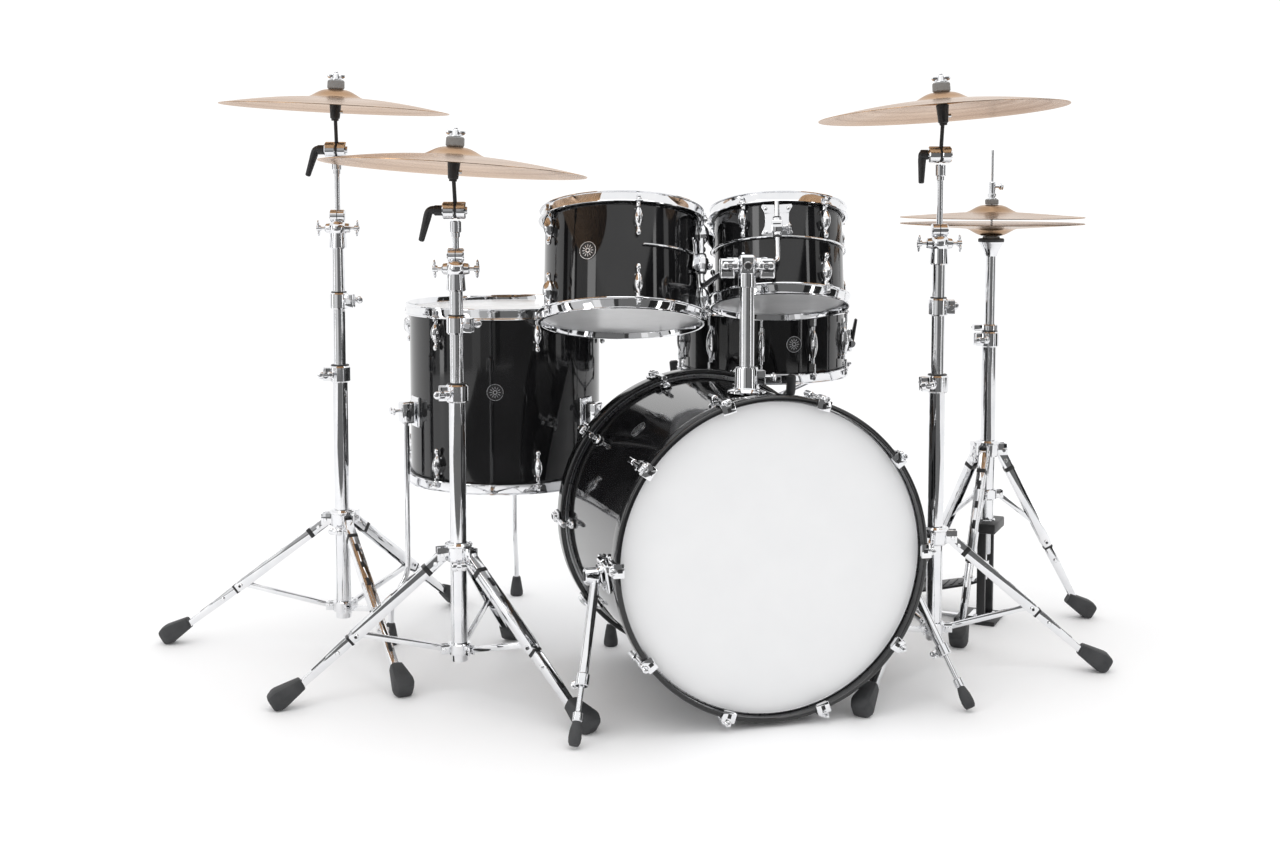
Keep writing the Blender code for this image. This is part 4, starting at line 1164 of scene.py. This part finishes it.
def make_cymbal_stand(name, circle, first, clamps, lever):
    column = middle(name + "_upper_tube")
    column = (column.x, column.y)
    clamp = JOINTS[name + "_boom_tilt"]["pos_m"][2]
    tilter = JOINTS[name + "_cymbal_tilt"]["pos_m"][2]
    seat = Vector(JOINTS[name + "_cymbal_swivel"]["pos_m"])
    axis = Vector(JOINTS[name + "_cymbal_swivel"]["axis"])
    place = shift(*column, 0)

    made = Piece(name + "_stand_tripod", "kit", place)
    add_tube(made, 0.06, 0.592, 0.0158, 0.0134)
    add_hub(made, 0.272, 0.024, first)
    add_collar(made, 0.085, 0.022, first)
    add_clamp(made, 0.575, 0.0218, 188)
    add_legs(made, 0.272, 0.085, circle, first, 0.02, 0.58)
    made.done()

    made = Piece(name + "_upper_tube", name + "_tube", place)
    made.chrome(rod((0, 0, 0.46), (0, 0, clamp - 0.04), 0.0127, segments=40))
    for height in clamps:
        add_clamp(made, height, 0.019, 352)
    made.chrome(rod((0, 0, clamp - 0.058), (0, 0, clamp - 0.022), 0.019, 0.0165, segments=40, edge=0.003))
    made.chrome(ball((0, 0, clamp - 0.016), 0.0195, segments=36))
    for side in (-1, 1):
        out, pivot = EAST * side, UP * (clamp - 0.016)
        made.chrome(rod(pivot + out * 0.01, pivot + out * 0.026, 0.012, 0.01, segments=32, edge=0.002))
        turn = shift(pivot + out * 0.024) @ spin(0 if side > 0 else 180)
        made.chrome(moved(wing_screw(0.034, 0.016), turn @ spin(70, "X")))
    made.done()

    made = Piece(name + "_boom_rod", name + "_boom", place)
    made.chrome(rod((0, 0, clamp + 0.006), (0, 0, tilter - 0.02), 0.0062, segments=28))
    made.chrome(rod((-0.016, 0, clamp + 0.01), (0.016, 0, clamp + 0.01), 0.0128, segments=32, edge=0.002))
    made.plastic(rod((-0.001, 0, clamp + 0.01), (0.001, 0, clamp + 0.01), 0.0132, segments=32))
    made.bars(ORIGIN, UP, (("chrome", tilter - 0.042, tilter - 0.019, 0.011, None, 32, 0.002),
                           ("chrome", tilter - 0.05, tilter - 0.041, 0.0082, None, 28)))
    made.done()

    joint = Vector((*column, tilter))
    made = Piece(name + "_tilter", name + "_tilter")
    made.bars(joint, EAST, (("chrome", -0.024, -0.0015, 0.0164, None, 40, 0.002),
                            ("chrome", 0.0015, 0.02, 0.0164, None, 40, 0.002),
                            ("plastic", -0.002, 0.002, 0.015, None, 40),
                            ("chrome", 0.0195, 0.0225, 0.007, None, 28)))
    handle = shift(joint - EAST * 0.03) @ spin(-8)
    made.plastic(moved(lever_handle(*lever), handle))
    made.chrome(rod(joint - EAST * 0.03, joint - EAST * 0.022, 0.0075, segments=28))
    made.plastic(rod(joint, seat - axis * 0.05, 0.0038, segments=16))
    made.bars(seat, axis, (("alloy", -0.026, 0.036, 0.0038, None, 16),
                           ("plastic", -0.06, -0.0235, 0.0098, 0.0124, 32, 0.0016),
                           ("plastic", -0.064, -0.058, 0.0075, None, 28)))
    across = axis.cross(Vector((0, 1, 0))).normalized() * -1
    screw = seat - axis * 0.046
    made.chrome(rod(screw + across * 0.009, screw + across * 0.016, 0.0036, segments=16))
    made.bars(seat, axis, (("felt", -0.023, -0.0034, 0.011, None, 36, 0.0016),
                           ("felt", 0.0006, 0.019, 0.0175, 0.0172, 40, 0.0024),
                           ("chrome", 0.0188, 0.0212, 0.012, None, 32),
                           ("chrome", 0.0208, 0.033, 0.0078, 0.0062, 28, 0.0014)))
    for side in (-1, 1):
        lobe = seat + axis * 0.0275 + across * (0.0115 * side)
        made.chrome(moved(scaled(ball((0, 0, 0), 0.0072), 1.0, 0.36, 0.78), shift(lobe)))
    made.done()

    turn = axis.to_track_quat("Z", "Y").to_matrix().to_4x4()
    low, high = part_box(name + "_cymbal")
    radius = max(high.x - low.x, high.y - low.y) / 2
    made = Piece(name + "_cymbal", name + "_cymbal", shift(seat) @ turn)
    made.add("bronze", lathe(cymbal_outline(radius), 144))
    made.done(sharp=40)


def make_hihat():
    centre = middle("hihat_pull_rod")
    centre.z = 0
    place = shift(centre)
    seat = 0.854
    ahead = polar(1, 155)
    across = ahead.cross(UP)
    turn = turned(ahead, -across, UP)
    base = place @ turn  # local X towards the heel of the pedal

    made = Piece("hihat_stand_tripod", "kit", place)
    add_tube(made, 0.205, 0.65, 0.0158, 0.0122)
    add_hub(made, 0.386, 0.024, 4)
    add_collar(made, 0.284, 0.022, 4)
    add_clamp(made, 0.628, 0.0205, 188)
    made.chrome(ring(0.0185, 0.012, 0.647, 0.014, 0.002))
    lock = spin(188) @ shift(0.026, 0, 0.654)
    made.chrome(block((0.024, 0.018, 0.0135), lock, edge=0.002))
    made.plastic(moved(rod((0.008, -0.0085, 0), (0.008, -0.0105, 0), 0.004), lock))
    add_legs(made, 0.386, 0.284, 0.222, 4, 0.018, 0.46)
    made.done()

    made = Piece("hihat_pedal_frame", "kit", base, node=False)
    made.plastic(block((0.052, 0.1, 0.022), shift(-0.004, 0, 0.215), edge=0.003))
    made.chrome(lathe([(0.0122, 0.228), (0.019, 0.228), (0.02, 0.226), (0.02, 0.218), (0.0122, 0.218)], 32))
    for side in (-1, 1):
        made.plastic(block((0.018, 0.012, 0.202), shift(0, side * 0.04, 0.106), edge=0.002))
        made.chrome(rod((0.01, side * 0.034, 0.02), (0.01, side * 0.05, 0.02), 0.0045))
    made.plastic(block((0.09, 0.104, 0.0096), shift(0.012, 0, 0.0052), edge=0.002))
    made.chrome(block((0.05, 0.06, 0.003), shift(0.006, 0, 0.0112), edge=0.001))
    made.chrome(block((0.03, 0.086, 0.015), shift(0.262, 0, 0.008), edge=0.002))
    made.chrome(block((0.22, 0.016, 0.0052), shift(0.15, 0, 0.0034), edge=0.001))
    made.add("alloy", tube([(0.0, 0.0, 0.205), (0.0, 0.0, 0.15)], 0.0105, segments=24))
    made.done()

    made = Piece("hihat_footboard", "hihat_pedal", base)
    heel, toe = Vector((0.262, 0, 0.028)), Vector((0.012, 0, 0.088))
    run = (toe - heel).normalized()
    lay = turned(run, Vector((0, -1, 0)), run.cross(Vector((0, -1, 0))))
    flat = shift((heel + toe) / 2) @ lay
    outline = [(-0.128, -0.034), (-0.11, -0.041), (0.06, -0.041), (0.11, -0.034), (0.126, -0.02), (0.128, 0.0),
               (0.126, 0.02), (0.11, 0.034), (0.06, 0.041), (-0.11, 0.041), (-0.128, 0.034)]
    made.plastic(plate(outline, 0.0052, flat))
    for k in range(9):
        made.plastic(block((0.006, 0.06, 0.0022), flat @ shift(-0.07 + 0.02 * k, 0, 0.0034), edge=0.0006))
    made.chrome(block((0.018, 0.05, 0.003), flat @ shift(0.112, 0, 0.0036), edge=0.001))
    made.chrome(rod(heel - Vector((0, 0.04, 0)), heel + Vector((0, 0.04, 0)), 0.0058))
    made.done()

    made = Piece("hihat_upper_tube", "hihat_tube", place)
    add_tube(made, 0.52, seat - 0.04, 0.0111, 0.005)
    made.chrome(lathe([(0.0052, seat - 0.044), (0.0135, seat - 0.044), (0.015, seat - 0.036),
                       (0.021, seat - 0.024), (0.027, seat - 0.014), (0.0278, seat - 0.0125),
                       (0.0052, seat - 0.012)], 44))
    made.add("rubber", lathe([(0.0055, seat - 0.0125), (0.0276, seat - 0.0125), (0.028, seat - 0.011),
                              (0.028, seat - 0.0066), (0.0262, seat - 0.0048), (0.0055, seat - 0.0048)], 44))
    made.add("felt", lathe([(0.0055, seat - 0.005), (0.018, seat - 0.005), (0.0186, seat - 0.004),
                            (0.018, seat - 0.0004), (0.0055, seat - 0.0004)], 44))
    made.done()

    low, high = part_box("hihat_top_cymbal")
    radius, top_at = (high.x - low.x) / 2, high.z
    low_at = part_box("hihat_bottom_cymbal")[0].z
    made = Piece("hihat_top_cymbal", "hihat_rod", place @ shift(0, 0, top_at))
    made.add("hat_bronze", lathe(hat_outline(radius), 144)).done(sharp=40)
    made = Piece("hihat_bottom_cymbal", "hihat_tube", place @ shift(0, 0, low_at) @ FLIP)
    made.add("hat_bronze", lathe(hat_outline(radius), 144)).done(sharp=40)

    made = Piece("hihat_pull_rod", "hihat_rod", place)
    made.bars(ORIGIN, UP, (("chrome", 0.13, 1.042, 0.0031, None, 20, 0.001),
                           ("felt", top_at + 0.0006, top_at + 0.0125, 0.0145, None, 36, 0.0018),
                           ("chrome", top_at + 0.012, top_at + 0.015, 0.0115, None, 32),
                           ("chrome", top_at + 0.0148, top_at + 0.05, 0.0076, None, 32, 0.0014),
                           ("chrome", top_at + 0.018, top_at + 0.024, 0.01, None, 28)))
    made.chrome(moved(wing_screw(0.026, 0.014), shift(0.006, 0, top_at + 0.04)))
    made.bars(ORIGIN, UP, (("felt", top_at - 0.013, top_at - 0.0032, 0.011, None, 32),
                           ("chrome", top_at - 0.0165, top_at - 0.0125, 0.009, None, 28),
                           ("chrome", 0.112, 0.134, 0.0078, None, 24)))
    made.chrome(tube([(0, 0, 0.114), (0, 0, 0.092)], 0.0048, segments=12))
    made.done()


set_camera()
set_studio()
FINISHES = make_finishes()
make_rack_toms()
make_floor_tom()
make_bass_drum()
make_snare()
for stand, settings in STANDS.items():
    make_cymbal_stand(stand, *settings)
make_hihat()
